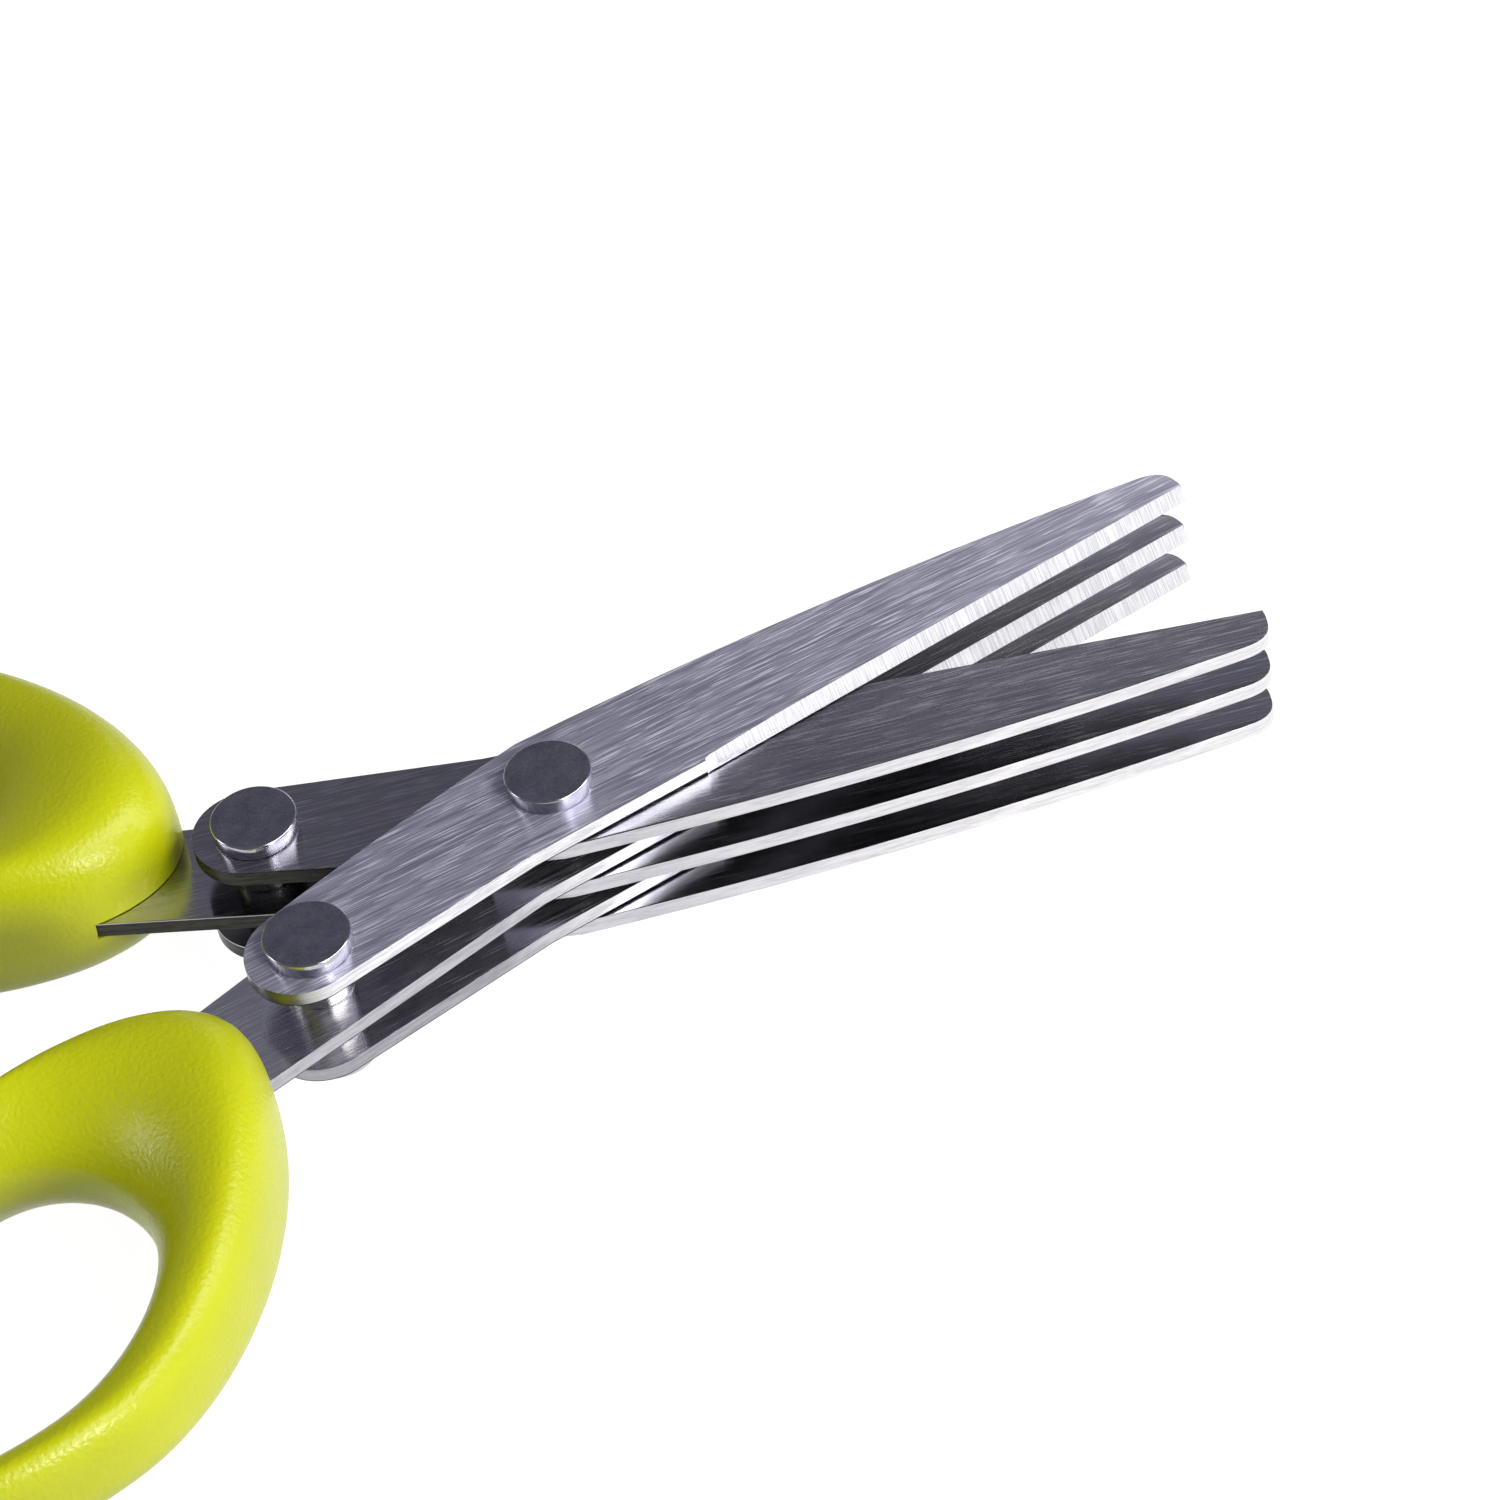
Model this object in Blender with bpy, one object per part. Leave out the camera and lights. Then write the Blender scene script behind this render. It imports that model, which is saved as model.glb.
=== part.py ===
"""Herb scissors with three blades on each side, modelled as separate pieces in metres, +Z up.

The pivot axis is the Z axis, and the lowest face of the pivot rivet lies at z = 0. The blades point
along +X and stand open as in use. Side A is above side B in every layer. Side B is side A turned
over about the X axis, apart from the front of its handle.
"""

import math

import bmesh
import bpy

# The stack of blades
LAYERS = 3
BLADE_THICKNESS = 0.0018
SLIDE_GAP = 0.00005
SEAT_GAP = 0.00005
LAYER_PITCH = 0.00544

# How far each side is turned out from the X axis, measured from pivot to rear rivet
SPREAD = math.radians(19.1)

# Blade outline, from the pivot: +X to the tip, +Y to the spine, the cutting edge below
REAR_RIVET_REACH = 0.0293
HEEL_OVERHANG = 0.0008
SPINE_AT_HEEL = 0.0058
SPINE_AT_PIVOT = 0.0069
SPINE_CREST_REACH = 0.0010
SPINE_AT_NOSE = -0.0102
NOSE_REACH = 0.0686
SPINE_BOW = 0.0013
REAR_SPINE_BOW = 0.0003
TIP_REACH = 0.0709
TIP_DROP = 0.01505
NOSE_BULGE = 0.0026
EDGE_AT_HEEL = -0.0055
WAIST_BEHIND_PIVOT = 0.0070
EDGE_AT_WAIST = -0.0064
BEVEL_START = 0.0125
EDGE_AT_BEVEL_START = -0.00885
BEVEL_WIDTH = 0.00078
BEVEL_RUN_OUT = 0.0012
LAND_REACH = 0.0215

# The tang, where a middle blade runs back into its handle
TANG_REACH = 0.0530
TANG_SPINE_AT_RIVET = 0.0064
TANG_SPINE_AT_END = 0.0049
TANG_EDGE = -0.0065
TANG_CORNER = 0.0015
ANCHOR_HOLE_RADIUS = 0.0022
ANCHOR_HOLE_FROM_END = 0.0058

# Rivets and spacers
HEAD_RADIUS = 0.0043
HEAD_HEIGHT = 0.00172
HEAD_CHAMFER = 0.0001
PIVOT_SHANK_RADIUS = 0.0022
REAR_SHANK_RADIUS = 0.0020
HOLE_CLEARANCE = 0.0001
SPACER_RADIUS = 0.0034
SPACER_CHAMFER = 0.00015
CUT_OVERRUN = 0.001

# Handle loop, from the pivot in the same directions as the blade
LOOP_FRONT_REACHES = {"a": 0.0393, "b": 0.0379}
LOOP_FRONT_SIDES = {"a": -0.00288, "b": -0.00441}
LOOP_OUTER_REACH = 0.07306
LOOP_OUTER_SIDE = -0.0320
LOOP_REAR_REACH = 0.1080
LOOP_REAR_SIDE = -0.0095
LOOP_INNER_REACH = 0.05776
LOOP_INNER_SIDE = 0.00749
FINGER_FRONT_REACH = 0.05799
FINGER_FRONT_SIDE = -0.01023
FINGER_OUTER_REACH = 0.07829
FINGER_OUTER_SIDE = -0.02572
FINGER_REAR_REACH = 0.0985
FINGER_REAR_SIDE = -0.0120
FINGER_INNER_REACH = 0.07482
FINGER_INNER_SIDE = 0.00354
FRONT_HALF_HEIGHT = 0.0100
OUTER_HALF_HEIGHT = 0.0057
REAR_HALF_HEIGHT = 0.0052
INNER_HALF_HEIGHT = 0.0088
MOULD_GAP = 0.0002

# The share of the thickness that the bevel takes where it starts, above the land that tapers out
FIRST_GRIND_SHARE = 0.62

# Shares of a quarter's length that its tangents reach, and of a section's height and fullness
LOOP_TANGENT_SHARES = ((0.35, 0.43), (0.56, 0.56), (0.56, 0.56), (0.60, 0.57))
FINGER_TANGENT_SHARES = ((0.54, 0.55), (0.56, 0.56), (0.56, 0.56), (0.60, 0.58))
LIP_SHARE = 0.46
FULLNESS_SHARE = 0.72

# How finely curves are drawn
SPINE_STEPS = 12
REAR_SPINE_STEPS = 4
NOSE_STEPS = 10
HEEL_STEPS = 16
BEVEL_STEPS = 4
HEAD_STEPS = 48
HOLE_STEPS = 32
QUARTER_STEPS = 17
SECTION_STEPS = 20
SMOOTH_LIMIT = math.radians(30)

# Heights that follow from the sizes above
CLAMP_HEIGHT = HEAD_HEIGHT + SEAT_GAP
B_LEVELS = [CLAMP_HEIGHT + layer * LAYER_PITCH for layer in range(LAYERS)]
A_LEVELS = [level + BLADE_THICKNESS + SLIDE_GAP for level in B_LEVELS]
HANDLE_LEVEL = A_LEVELS[1] + BLADE_THICKNESS / 2


def clear_scene():
    """Remove every object of the scene."""
    for obj in list(bpy.data.objects):
        bpy.data.objects.remove(obj, do_unlink=True)


def material(name, colour, roughness, metallic):
    """Make a Principled material from a linear colour."""
    made = bpy.data.materials.new(name)
    made.use_nodes = True
    shader = made.node_tree.nodes["Principled BSDF"]
    shader.inputs["Base Color"].default_value = (*colour, 1.0)
    shader.inputs["Roughness"].default_value = roughness
    shader.inputs["Metallic"].default_value = metallic
    return made


def blade_steel():
    """Brushed stainless steel, as on the blades."""
    return material("brushed_blade_steel", (0.46, 0.46, 0.49), 0.32, 1.0)


def rivet_steel():
    """Dark satin steel, as on the rivet heads."""
    return material("satin_rivet_steel", (0.20, 0.20, 0.23), 0.30, 1.0)


def spacer_steel():
    """Turned steel, as on the collars between the blades."""
    return material("turned_spacer_steel", (0.34, 0.34, 0.36), 0.25, 1.0)


def handle_plastic():
    """Lime green moulded plastic, as on the handles."""
    return material("lime_moulded_plastic", (0.55, 0.62, 0.03), 0.38, 0.0)


def mesh_object(name, mesh, finish, parent, level):
    """Put a mesh in the scene under a parent, with its material, at a height along the parent's axis."""
    obj = bpy.data.objects.new(name, mesh)
    bpy.context.scene.collection.objects.link(obj)
    if finish and not mesh.materials:
        mesh.materials.append(finish)
    obj.parent = parent
    obj.location.z = level
    return obj


def side_empty(name, turn, flip):
    """Make the empty on the pivot axis that carries one side of the scissors."""
    empty = bpy.data.objects.new(name, None)
    bpy.context.scene.collection.objects.link(empty)
    empty.rotation_euler = (flip, 0, turn)
    return empty


def finished_mesh(name, shape):
    """Turn a closed bmesh into a mesh with its faces pointing out and its round sides smooth."""
    bmesh.ops.recalc_face_normals(shape, faces=shape.faces)
    mesh = bpy.data.meshes.new(name)
    shape.to_mesh(mesh)
    shape.free()
    mesh.shade_smooth()
    mesh.set_sharp_from_angle(angle=SMOOTH_LIMIT)
    return mesh


def wall_round(shape, lower, upper):
    """Join two outlines of as many corners with a wall."""
    for here, corner in enumerate(lower):
        after = (here + 1) % len(lower)
        shape.faces.new((corner, upper[here], upper[after], lower[after]))


def prism_mesh(name, floor_points, roof_points):
    """Make a flat body between two outlines."""
    shape = bmesh.new()
    floor = [shape.verts.new(point) for point in floor_points]
    roof = [shape.verts.new(point) for point in roof_points]
    shape.faces.new(floor)
    shape.faces.new(roof)
    wall_round(shape, floor, roof)
    return finished_mesh(name, shape)


def turned_mesh(name, profile, steps):
    """Turn a profile of radius and height about the Z axis into a closed body."""
    shape = bmesh.new()
    corners = [shape.verts.new((radius, 0, height)) for radius, height in profile]
    edges = [shape.edges.new(pair) for pair in zip(corners, corners[1:])]
    if profile[0][0] > 0:
        edges.append(shape.edges.new((corners[-1], corners[0])))
    bmesh.ops.spin(
        shape,
        geom=corners + edges,
        axis=(0, 0, 1),
        cent=(0, 0, 0),
        angle=math.tau,
        steps=steps,
        use_merge=True,
    )
    bmesh.ops.remove_doubles(shape, verts=shape.verts, dist=HOLE_CLEARANCE / steps)
    return finished_mesh(name, shape)


def bezier(start, first, second, end, steps):
    """Give the points of a cubic curve, its last point left out."""
    points = []
    for step in range(steps):
        t = step / steps
        s = 1 - t
        weights = (s * s * s, 3 * s * s * t, 3 * s * t * t, t * t * t)
        corners = (start, first, second, end)
        points.append(tuple(sum(w * c[axis] for w, c in zip(weights, corners)) for axis in (0, 1)))
    return points


def bowed(start, end, bow, steps):
    """Give the points of a line that bows out by some height at its middle, its last point left out."""
    points = []
    for step in range(steps):
        share = step / steps
        x = start[0] + share * (end[0] - start[0])
        y = start[1] + share * (end[1] - start[1])
        points.append((x, y + 4 * bow * share * (1 - share)))
    return points


def edge_height(x):
    """Give the height of the bevelled part of the cutting edge at a distance from the pivot."""
    share = (x - BEVEL_START) / (TIP_REACH - BEVEL_START)
    return EDGE_AT_BEVEL_START + share * (-TIP_DROP - EDGE_AT_BEVEL_START)


def nose_points():
    """Give the rounded nose, from the end of the spine to the tip of the cutting edge."""
    slope = (SPINE_AT_NOSE - SPINE_AT_PIVOT - 4 * SPINE_BOW) / (NOSE_REACH - SPINE_CREST_REACH)
    start = (NOSE_REACH, SPINE_AT_NOSE)
    first = (NOSE_REACH + NOSE_BULGE, SPINE_AT_NOSE + slope * NOSE_BULGE)
    tip = (TIP_REACH, -TIP_DROP)
    second = (TIP_REACH + BEVEL_WIDTH, NOSE_BULGE - TIP_DROP)
    return bezier(start, first, second, tip, NOSE_STEPS) + [tip]


def bevel_start_points():
    """Give the small round where the bevel begins, as x and the share of the thickness that is ground."""
    points = [(LAND_REACH, 1)]
    for step in range(BEVEL_STEPS, -1, -1):
        turn = math.pi / 2 * step / BEVEL_STEPS
        points.append((BEVEL_START + BEVEL_RUN_OUT * (1 - math.cos(turn)), FIRST_GRIND_SHARE * math.sin(turn)))
    return points


def heel_points():
    """Give the round rear end of an outer blade, from the cutting side to the spine side."""
    centre = -REAR_RIVET_REACH - HEEL_OVERHANG
    radius = (SPINE_AT_HEEL - EDGE_AT_HEEL) / 2
    points = []
    for step in range(HEEL_STEPS + 1):
        angle = math.pi * step / HEEL_STEPS
        height = SPINE_AT_HEEL if step > HEEL_STEPS / 2 else -EDGE_AT_HEEL
        points.append((centre - radius * math.sin(angle), -height * math.cos(angle)))
    return points


def tang_points():
    """Give the rear end of a middle blade, from the cutting side to the spine side."""
    return [
        (-REAR_RIVET_REACH, TANG_EDGE),
        (TANG_CORNER - TANG_REACH, TANG_EDGE),
        (-TANG_REACH, TANG_EDGE + TANG_CORNER),
        (-TANG_REACH, TANG_SPINE_AT_END - TANG_CORNER),
        (TANG_CORNER - TANG_REACH, TANG_SPINE_AT_END),
        (-REAR_RIVET_REACH, TANG_SPINE_AT_RIVET),
    ]


def blade_outline(rear):
    """Give a blade's outline as x, y, how far the bevel draws it in, and how much of the wall is ground."""
    crest = (SPINE_CREST_REACH, SPINE_AT_PIVOT)
    spine = bowed(crest, (NOSE_REACH, SPINE_AT_NOSE), SPINE_BOW, SPINE_STEPS)
    rear_spine = bowed(rear[-1], crest, REAR_SPINE_BOW, REAR_SPINE_STEPS)
    outline = [(x, y, 0, 0) for x, y in spine]
    for x, y in nose_points():
        drawn_in = max(0, edge_height(x) + BEVEL_WIDTH - y)
        outline.append((x, y, drawn_in, 1 if drawn_in else 0))
    outline += [(x, edge_height(x), BEVEL_WIDTH * ground, ground) for x, ground in bevel_start_points()]
    outline.append((-WAIST_BEHIND_PIVOT, EDGE_AT_WAIST, 0, 0))
    return outline + [(x, y, 0, 0) for x, y in rear[:-1] + rear_spine]


def blade_mesh(name, rear):
    """Make a blade: its flat cutting face at z = 0 and its bevelled face above it.

    The wall between them has a ridge where the ground bevel ends and the plain wall under it begins.
    """
    shape = bmesh.new()
    flat = []
    bevelled = []
    ridge = []
    for x, y, drawn_in, ground in blade_outline(rear):
        flat.append(shape.verts.new((x, y, 0)))
        bevelled.append(shape.verts.new((x, y + drawn_in, BLADE_THICKNESS)))
        if ground in (0, 1):
            ridge.append(flat[-1] if ground else bevelled[-1])
        else:
            ridge.append(shape.verts.new((x, y, BLADE_THICKNESS * (1 - ground))))
    shape.faces.new(flat)
    shape.faces.new(bevelled)
    for lower, upper in ((flat, ridge), (ridge, bevelled)):
        for here, corner in enumerate(lower):
            after = (here + 1) % len(lower)
            corners = list(dict.fromkeys((corner, upper[here], upper[after], lower[after])))
            if len(corners) > 2:
                shape.faces.new(corners)
    return finished_mesh(name, shape)


def head_profile(face, seat):
    """Give the profile of a flat rivet head from its outer face to the seat under it."""
    chamfer = HEAD_CHAMFER if seat > face else -HEAD_CHAMFER
    return [
        (0, face),
        (HEAD_RADIUS - HEAD_CHAMFER, face),
        (HEAD_RADIUS, face + chamfer),
        (HEAD_RADIUS, seat),
    ]


def rivet(name, shank_radius, foot, top, finish, parent):
    """Make a rivet with a flat head at each end, between two heights."""
    upper = head_profile(top, top - HEAD_HEIGHT)
    lower = head_profile(foot, foot + HEAD_HEIGHT)
    shank = [(shank_radius, top - HEAD_HEIGHT), (shank_radius, foot + HEAD_HEIGHT)]
    mesh = turned_mesh(name, upper + shank + lower[::-1], HEAD_STEPS)
    return mesh_object(name, mesh, finish, parent, 0)


def spacer(name, shank_radius, foot, height, finish, parent):
    """Make a collar that stands between two blades on a rivet's shank."""
    bore = shank_radius + HOLE_CLEARANCE
    profile = [
        (bore, 0),
        (SPACER_RADIUS - SPACER_CHAMFER, 0),
        (SPACER_RADIUS, SPACER_CHAMFER),
        (SPACER_RADIUS, height - SPACER_CHAMFER),
        (SPACER_RADIUS - SPACER_CHAMFER, height),
        (bore, height),
    ]
    return mesh_object(name, turned_mesh(name, profile, HOLE_STEPS), finish, parent, foot)


def cutter(name, mesh, parent, level, reach):
    """Make a helper that cuts other pieces and isn't a piece itself."""
    obj = mesh_object(name, mesh, None, parent, level)
    obj.location.x = -reach
    obj.hide_render = True
    obj.display_type = "WIRE"
    return obj


def drill(name, radius, parent, reach):
    """Make a long round cutter that stands through the whole stack."""
    tall = A_LEVELS[-1] + BLADE_THICKNESS + CUT_OVERRUN
    profile = [(0, tall), (radius, tall), (radius, -tall), (0, -tall)]
    return cutter(name, turned_mesh(name, profile, HOLE_STEPS), parent, 0, reach)


def cut(obj, tool):
    """Cut one object with another."""
    boolean = obj.modifiers.new(tool.name, "BOOLEAN")
    boolean.operation = "DIFFERENCE"
    boolean.solver = "EXACT"
    boolean.object = tool


def closed_curve(reaches, sides, shares):
    """Give the points of a loop through its front, outer, rear and inner extremes."""
    corners = [(-reach, side) for reach, side in zip(reaches, sides)]
    points = []
    for quarter, (start_share, end_share) in enumerate(shares):
        start = corners[quarter]
        end = corners[(quarter + 1) % len(corners)]
        run = end[0] - start[0]
        rise = end[1] - start[1]
        if quarter % 2:
            first = (start[0] + start_share * run, start[1])
            second = (end[0], end[1] - end_share * rise)
        else:
            first = (start[0], start[1] + start_share * rise)
            second = (end[0] - end_share * run, end[1])
        points += bezier(start, first, second, end, QUARTER_STEPS)
    return points


def half_heights():
    """Give the handle's half height at each station round the loop."""
    corners = (FRONT_HALF_HEIGHT, OUTER_HALF_HEIGHT, REAR_HALF_HEIGHT, INNER_HALF_HEIGHT)
    heights = []
    for quarter, start in enumerate(corners):
        end = corners[(quarter + 1) % len(corners)]
        for step in range(QUARTER_STEPS):
            blend = (1 - math.cos(math.pi * step / QUARTER_STEPS)) / 2
            heights.append(start + blend * (end - start))
    return heights


def full_round(turn):
    """Give the cosine and sine of a turn, filled out so that a section is fuller than an ellipse."""
    cosine = math.cos(turn)
    sine = math.sin(turn)
    power = 2 / FULLNESS_SHARE
    reach = (abs(cosine) ** power + abs(sine) ** power) ** (1 / power)
    return cosine / reach, sine / reach


def section_points(outer, inner, half_height):
    """Give one section of the handle: full at the outer side and thinner at the finger hole's lip."""
    points = []
    for step in range(SECTION_STEPS):
        cosine, sine = full_round(math.tau * step / SECTION_STEPS)
        across = (1 - cosine) / 2
        height = half_height * sine * (1 - LIP_SHARE * across * across)
        x = outer[0] + across * (inner[0] - outer[0])
        y = outer[1] + across * (inner[1] - outer[1])
        points.append((x, y, height))
    return points


def handle_mesh(prefix):
    """Make one side's handle loop round its finger hole, its middle at z = 0."""
    loop = closed_curve(
        (LOOP_FRONT_REACHES[prefix], LOOP_OUTER_REACH, LOOP_REAR_REACH, LOOP_INNER_REACH),
        (LOOP_FRONT_SIDES[prefix], LOOP_OUTER_SIDE, LOOP_REAR_SIDE, LOOP_INNER_SIDE),
        LOOP_TANGENT_SHARES,
    )
    finger_hole = closed_curve(
        (FINGER_FRONT_REACH, FINGER_OUTER_REACH, FINGER_REAR_REACH, FINGER_INNER_REACH),
        (FINGER_FRONT_SIDE, FINGER_OUTER_SIDE, FINGER_REAR_SIDE, FINGER_INNER_SIDE),
        FINGER_TANGENT_SHARES,
    )
    shape = bmesh.new()
    rings = []
    for outer, inner, half_height in zip(loop, finger_hole, half_heights()):
        section = section_points(outer, inner, half_height)
        rings.append([shape.verts.new(point) for point in section])
    for here, ring in enumerate(rings):
        wall_round(shape, ring, rings[(here + 1) % len(rings)])
    return finished_mesh(prefix + "_handle", shape)


def tang_pocket_mesh():
    """Make the space that a tang takes in its handle, with the gap round it."""
    front = -REAR_RIVET_REACH
    rear = -TANG_REACH - MOULD_GAP
    outline = [
        (front, TANG_EDGE - MOULD_GAP),
        (rear, TANG_EDGE - MOULD_GAP),
        (rear, TANG_SPINE_AT_END + MOULD_GAP),
        (front, TANG_SPINE_AT_RIVET + MOULD_GAP),
    ]
    floor = [(x, y, -MOULD_GAP) for x, y in outline]
    roof = [(x, y, BLADE_THICKNESS + MOULD_GAP) for x, y in outline]
    return prism_mesh("tang_pocket", floor, roof)


def blade_levels(flipped):
    """Give the heights of a side's cutting faces along its own axis, from its top blade down."""
    if flipped:
        return [-level - BLADE_THICKNESS for level in B_LEVELS[::-1]]
    return A_LEVELS[::-1]


def build_blades(prefix, side, steel, blades, levels):
    """Build the three blades of one side, bored for their rivets."""
    outer_mesh, middle_mesh = blades
    pivot_drill = drill(prefix + "_pivot_drill", PIVOT_SHANK_RADIUS + HOLE_CLEARANCE, side, 0)
    rear_bore = REAR_SHANK_RADIUS + HOLE_CLEARANCE
    rear_drill = drill(prefix + "_rear_drill", rear_bore, side, REAR_RIVET_REACH)
    anchor_reach = TANG_REACH - ANCHOR_HOLE_FROM_END
    anchor_drill = drill(prefix + "_anchor_drill", ANCHOR_HOLE_RADIUS, side, anchor_reach)
    meshes = (outer_mesh, middle_mesh, outer_mesh)
    for place, mesh, level in zip(("top", "middle", "bottom"), meshes, levels):
        blade = mesh_object(prefix + "_blade_" + place, mesh, steel, side, level)
        cut(blade, pivot_drill)
        cut(blade, rear_drill)
        if mesh is middle_mesh:
            cut(blade, anchor_drill)


def build_rear_joint(prefix, side, flipped, rivet_finish, spacer_finish, levels):
    """Build the rivet behind the pivot that ties one side's blades, and its two spacers."""
    foot = min(levels) - CLAMP_HEIGHT
    top = max(levels) + BLADE_THICKNESS + CLAMP_HEIGHT
    pin = rivet(prefix + "_rear_rivet", REAR_SHANK_RADIUS, foot, top, rivet_finish, side)
    pin.location.x = -REAR_RIVET_REACH
    gap = LAYER_PITCH - BLADE_THICKNESS
    height = gap - SEAT_GAP - SEAT_GAP
    for place, level in zip(("upper", "lower"), levels):
        foot = level + BLADE_THICKNESS if flipped else level - gap
        name = prefix + "_rear_spacer_" + place
        collar = spacer(name, REAR_SHANK_RADIUS, foot + SEAT_GAP, height, spacer_finish, side)
        collar.location.x = -REAR_RIVET_REACH


def build_handle(prefix, side, flipped, plastic, tang_level):
    """Build one handle, moulded round its tang and through the tang's anchor hole."""
    level = -HANDLE_LEVEL if flipped else HANDLE_LEVEL
    handle = mesh_object(prefix + "_handle", handle_mesh(prefix), plastic, side, level)
    pocket = cutter(prefix + "_tang_pocket", tang_pocket_mesh(), side, tang_level, 0)
    plug_radius = ANCHOR_HOLE_RADIUS - MOULD_GAP
    plug_reach = TANG_REACH - ANCHOR_HOLE_FROM_END
    cut(pocket, drill(prefix + "_plug_drill", plug_radius, side, plug_reach))
    cut(handle, pocket)


def build_pivot(parent, rivet_finish, spacer_finish):
    """Build the pivot rivet and the two spacers that it carries."""
    top = A_LEVELS[-1] + BLADE_THICKNESS + CLAMP_HEIGHT
    rivet("pivot_rivet", PIVOT_SHANK_RADIUS, 0, top, rivet_finish, parent)
    for place, below, above in zip(("lower", "upper"), A_LEVELS, B_LEVELS[1:]):
        foot = below + BLADE_THICKNESS + SEAT_GAP
        height = above - SEAT_GAP - foot
        spacer("pivot_spacer_" + place, PIVOT_SHANK_RADIUS, foot, height, spacer_finish, parent)


def main():
    """Build the scissors."""
    clear_scene()
    steel = blade_steel()
    rivet_finish = rivet_steel()
    spacer_finish = spacer_steel()
    plastic = handle_plastic()
    blades = (blade_mesh("outer_blade", heel_points()), blade_mesh("middle_blade", tang_points()))
    a_side = side_empty("a_side", SPREAD, 0)
    b_side = side_empty("b_side", -SPREAD, math.pi)
    for prefix, side, flipped in (("a", a_side, False), ("b", b_side, True)):
        levels = blade_levels(flipped)
        build_blades(prefix, side, steel, blades, levels)
        build_rear_joint(prefix, side, flipped, rivet_finish, spacer_finish, levels)
        build_handle(prefix, side, flipped, plastic, levels[1])
    build_pivot(a_side, rivet_finish, spacer_finish)


if __name__ == "__main__":
    main()
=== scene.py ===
"""Herb scissors lying partly open on a pale studio floor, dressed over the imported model.

Every length is in metres in the model's own frame: the pivot axis is Z, and the blades point along +X.
Side A lies above side B in every layer. Each half is drawn in its own directions, from the pivot: +X to
the tip and +Y to the spine. Side B is turned over about the X axis.
"""

from __future__ import annotations

import logging
import math
from abc import ABC, abstractmethod
from dataclasses import dataclass
from enum import Enum

import bmesh
import bpy
from mathutils import Matrix, Vector


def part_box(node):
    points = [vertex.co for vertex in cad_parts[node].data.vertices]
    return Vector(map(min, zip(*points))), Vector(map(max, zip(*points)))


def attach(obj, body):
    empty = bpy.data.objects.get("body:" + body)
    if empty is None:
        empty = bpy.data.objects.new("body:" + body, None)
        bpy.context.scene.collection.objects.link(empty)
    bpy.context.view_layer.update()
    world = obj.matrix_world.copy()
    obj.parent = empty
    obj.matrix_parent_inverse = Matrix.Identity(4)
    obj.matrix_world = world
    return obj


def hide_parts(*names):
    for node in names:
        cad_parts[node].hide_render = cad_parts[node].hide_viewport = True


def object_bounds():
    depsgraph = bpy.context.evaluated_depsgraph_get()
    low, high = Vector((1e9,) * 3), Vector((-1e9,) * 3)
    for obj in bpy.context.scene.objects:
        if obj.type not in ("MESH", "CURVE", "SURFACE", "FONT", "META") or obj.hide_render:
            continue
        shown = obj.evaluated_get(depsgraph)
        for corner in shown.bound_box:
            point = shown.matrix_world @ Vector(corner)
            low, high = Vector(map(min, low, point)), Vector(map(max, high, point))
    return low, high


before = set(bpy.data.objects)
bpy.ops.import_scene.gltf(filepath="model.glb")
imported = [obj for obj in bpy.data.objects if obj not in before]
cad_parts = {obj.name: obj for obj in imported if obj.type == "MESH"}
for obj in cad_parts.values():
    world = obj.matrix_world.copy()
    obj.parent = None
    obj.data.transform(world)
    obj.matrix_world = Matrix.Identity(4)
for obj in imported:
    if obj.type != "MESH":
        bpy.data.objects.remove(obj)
CAD_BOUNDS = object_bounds()
LOG = logging.getLogger("herb_scissors")
MM = 0.001
BRUSH_TURN = math.radians(-11)
SMOOTH_LIMIT = math.radians(32)
COLOUR_MIX = {"data_type": "RGBA"}
SHADE_MIX = {"data_type": "RGBA", "blend_type": "MULTIPLY"}

Point = tuple[float, float]
Point3 = tuple[float, float, float]
Colour = tuple[float, float, float, float]
Material = bpy.types.Material
Node = bpy.types.Node
Piece = bpy.types.Object
Socket = bpy.types.NodeSocket
Tree = bpy.types.NodeTree


class Side(Enum):
    """The two halves of the scissors."""

    A = "a"
    B = "b"

    @property
    def body(self) -> str:
        """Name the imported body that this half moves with."""
        return "side_" + self.value

    @property
    def up(self) -> int:
        """Give 1 where the half's own Z points up, and -1 where it is turned over."""
        return 1 if self is Side.A else -1


class Place(Enum):
    """Where a blade lies in its half, from the top down."""

    TOP = "top"
    MIDDLE = "middle"
    BOTTOM = "bottom"


class Zone(Enum):
    """The zones of a blade's surface, in the order of its material slots."""

    BEVELLED_SIDE = 0
    FLAT_SIDE = 1
    BEVEL = 2
    FRONT_WALL = 3
    REAR_WALL = 4
    CORNER = 5
    RUN_OUT = 6


class Cover(Enum):
    """What a finish covers."""

    SHOW_SIDE = "bevelled side of side A's top blade"
    BEVELLED_SIDE = "other bevelled sides that face up or out"
    FLAT_SIDE = "flat side of side B's top blade"
    INNER_FLAT_SIDE = "flat sides of side B's lower blades"
    A_HIDDEN_SIDE = "flat undersides of side A"
    B_HIDDEN_SIDE = "bevelled undersides between side B's blades"
    BEVEL = "bevels"
    RUN_OUT = "ends of the bevels"
    TOP_WALL = "wall of side A's top blade"
    MIDDLE_WALL = "wall of side A's middle blade"
    BOTTOM_WALL = "wall of side A's bottom blade"
    B_WALL = "walls of side B ahead of the waist"
    B_REAR_WALL = "walls of side B behind the waist"
    ROLLED_CORNER = "corners round side A's flat sides"
    RIVET_FACE = "flat faces of the rivets"
    RIVET_WALL = "round sides of the rivets"
    A_COLLAR = "spacers of side A and the pivot"
    B_COLLAR = "spacers of side B"
    HANDLE = "handles"


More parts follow.
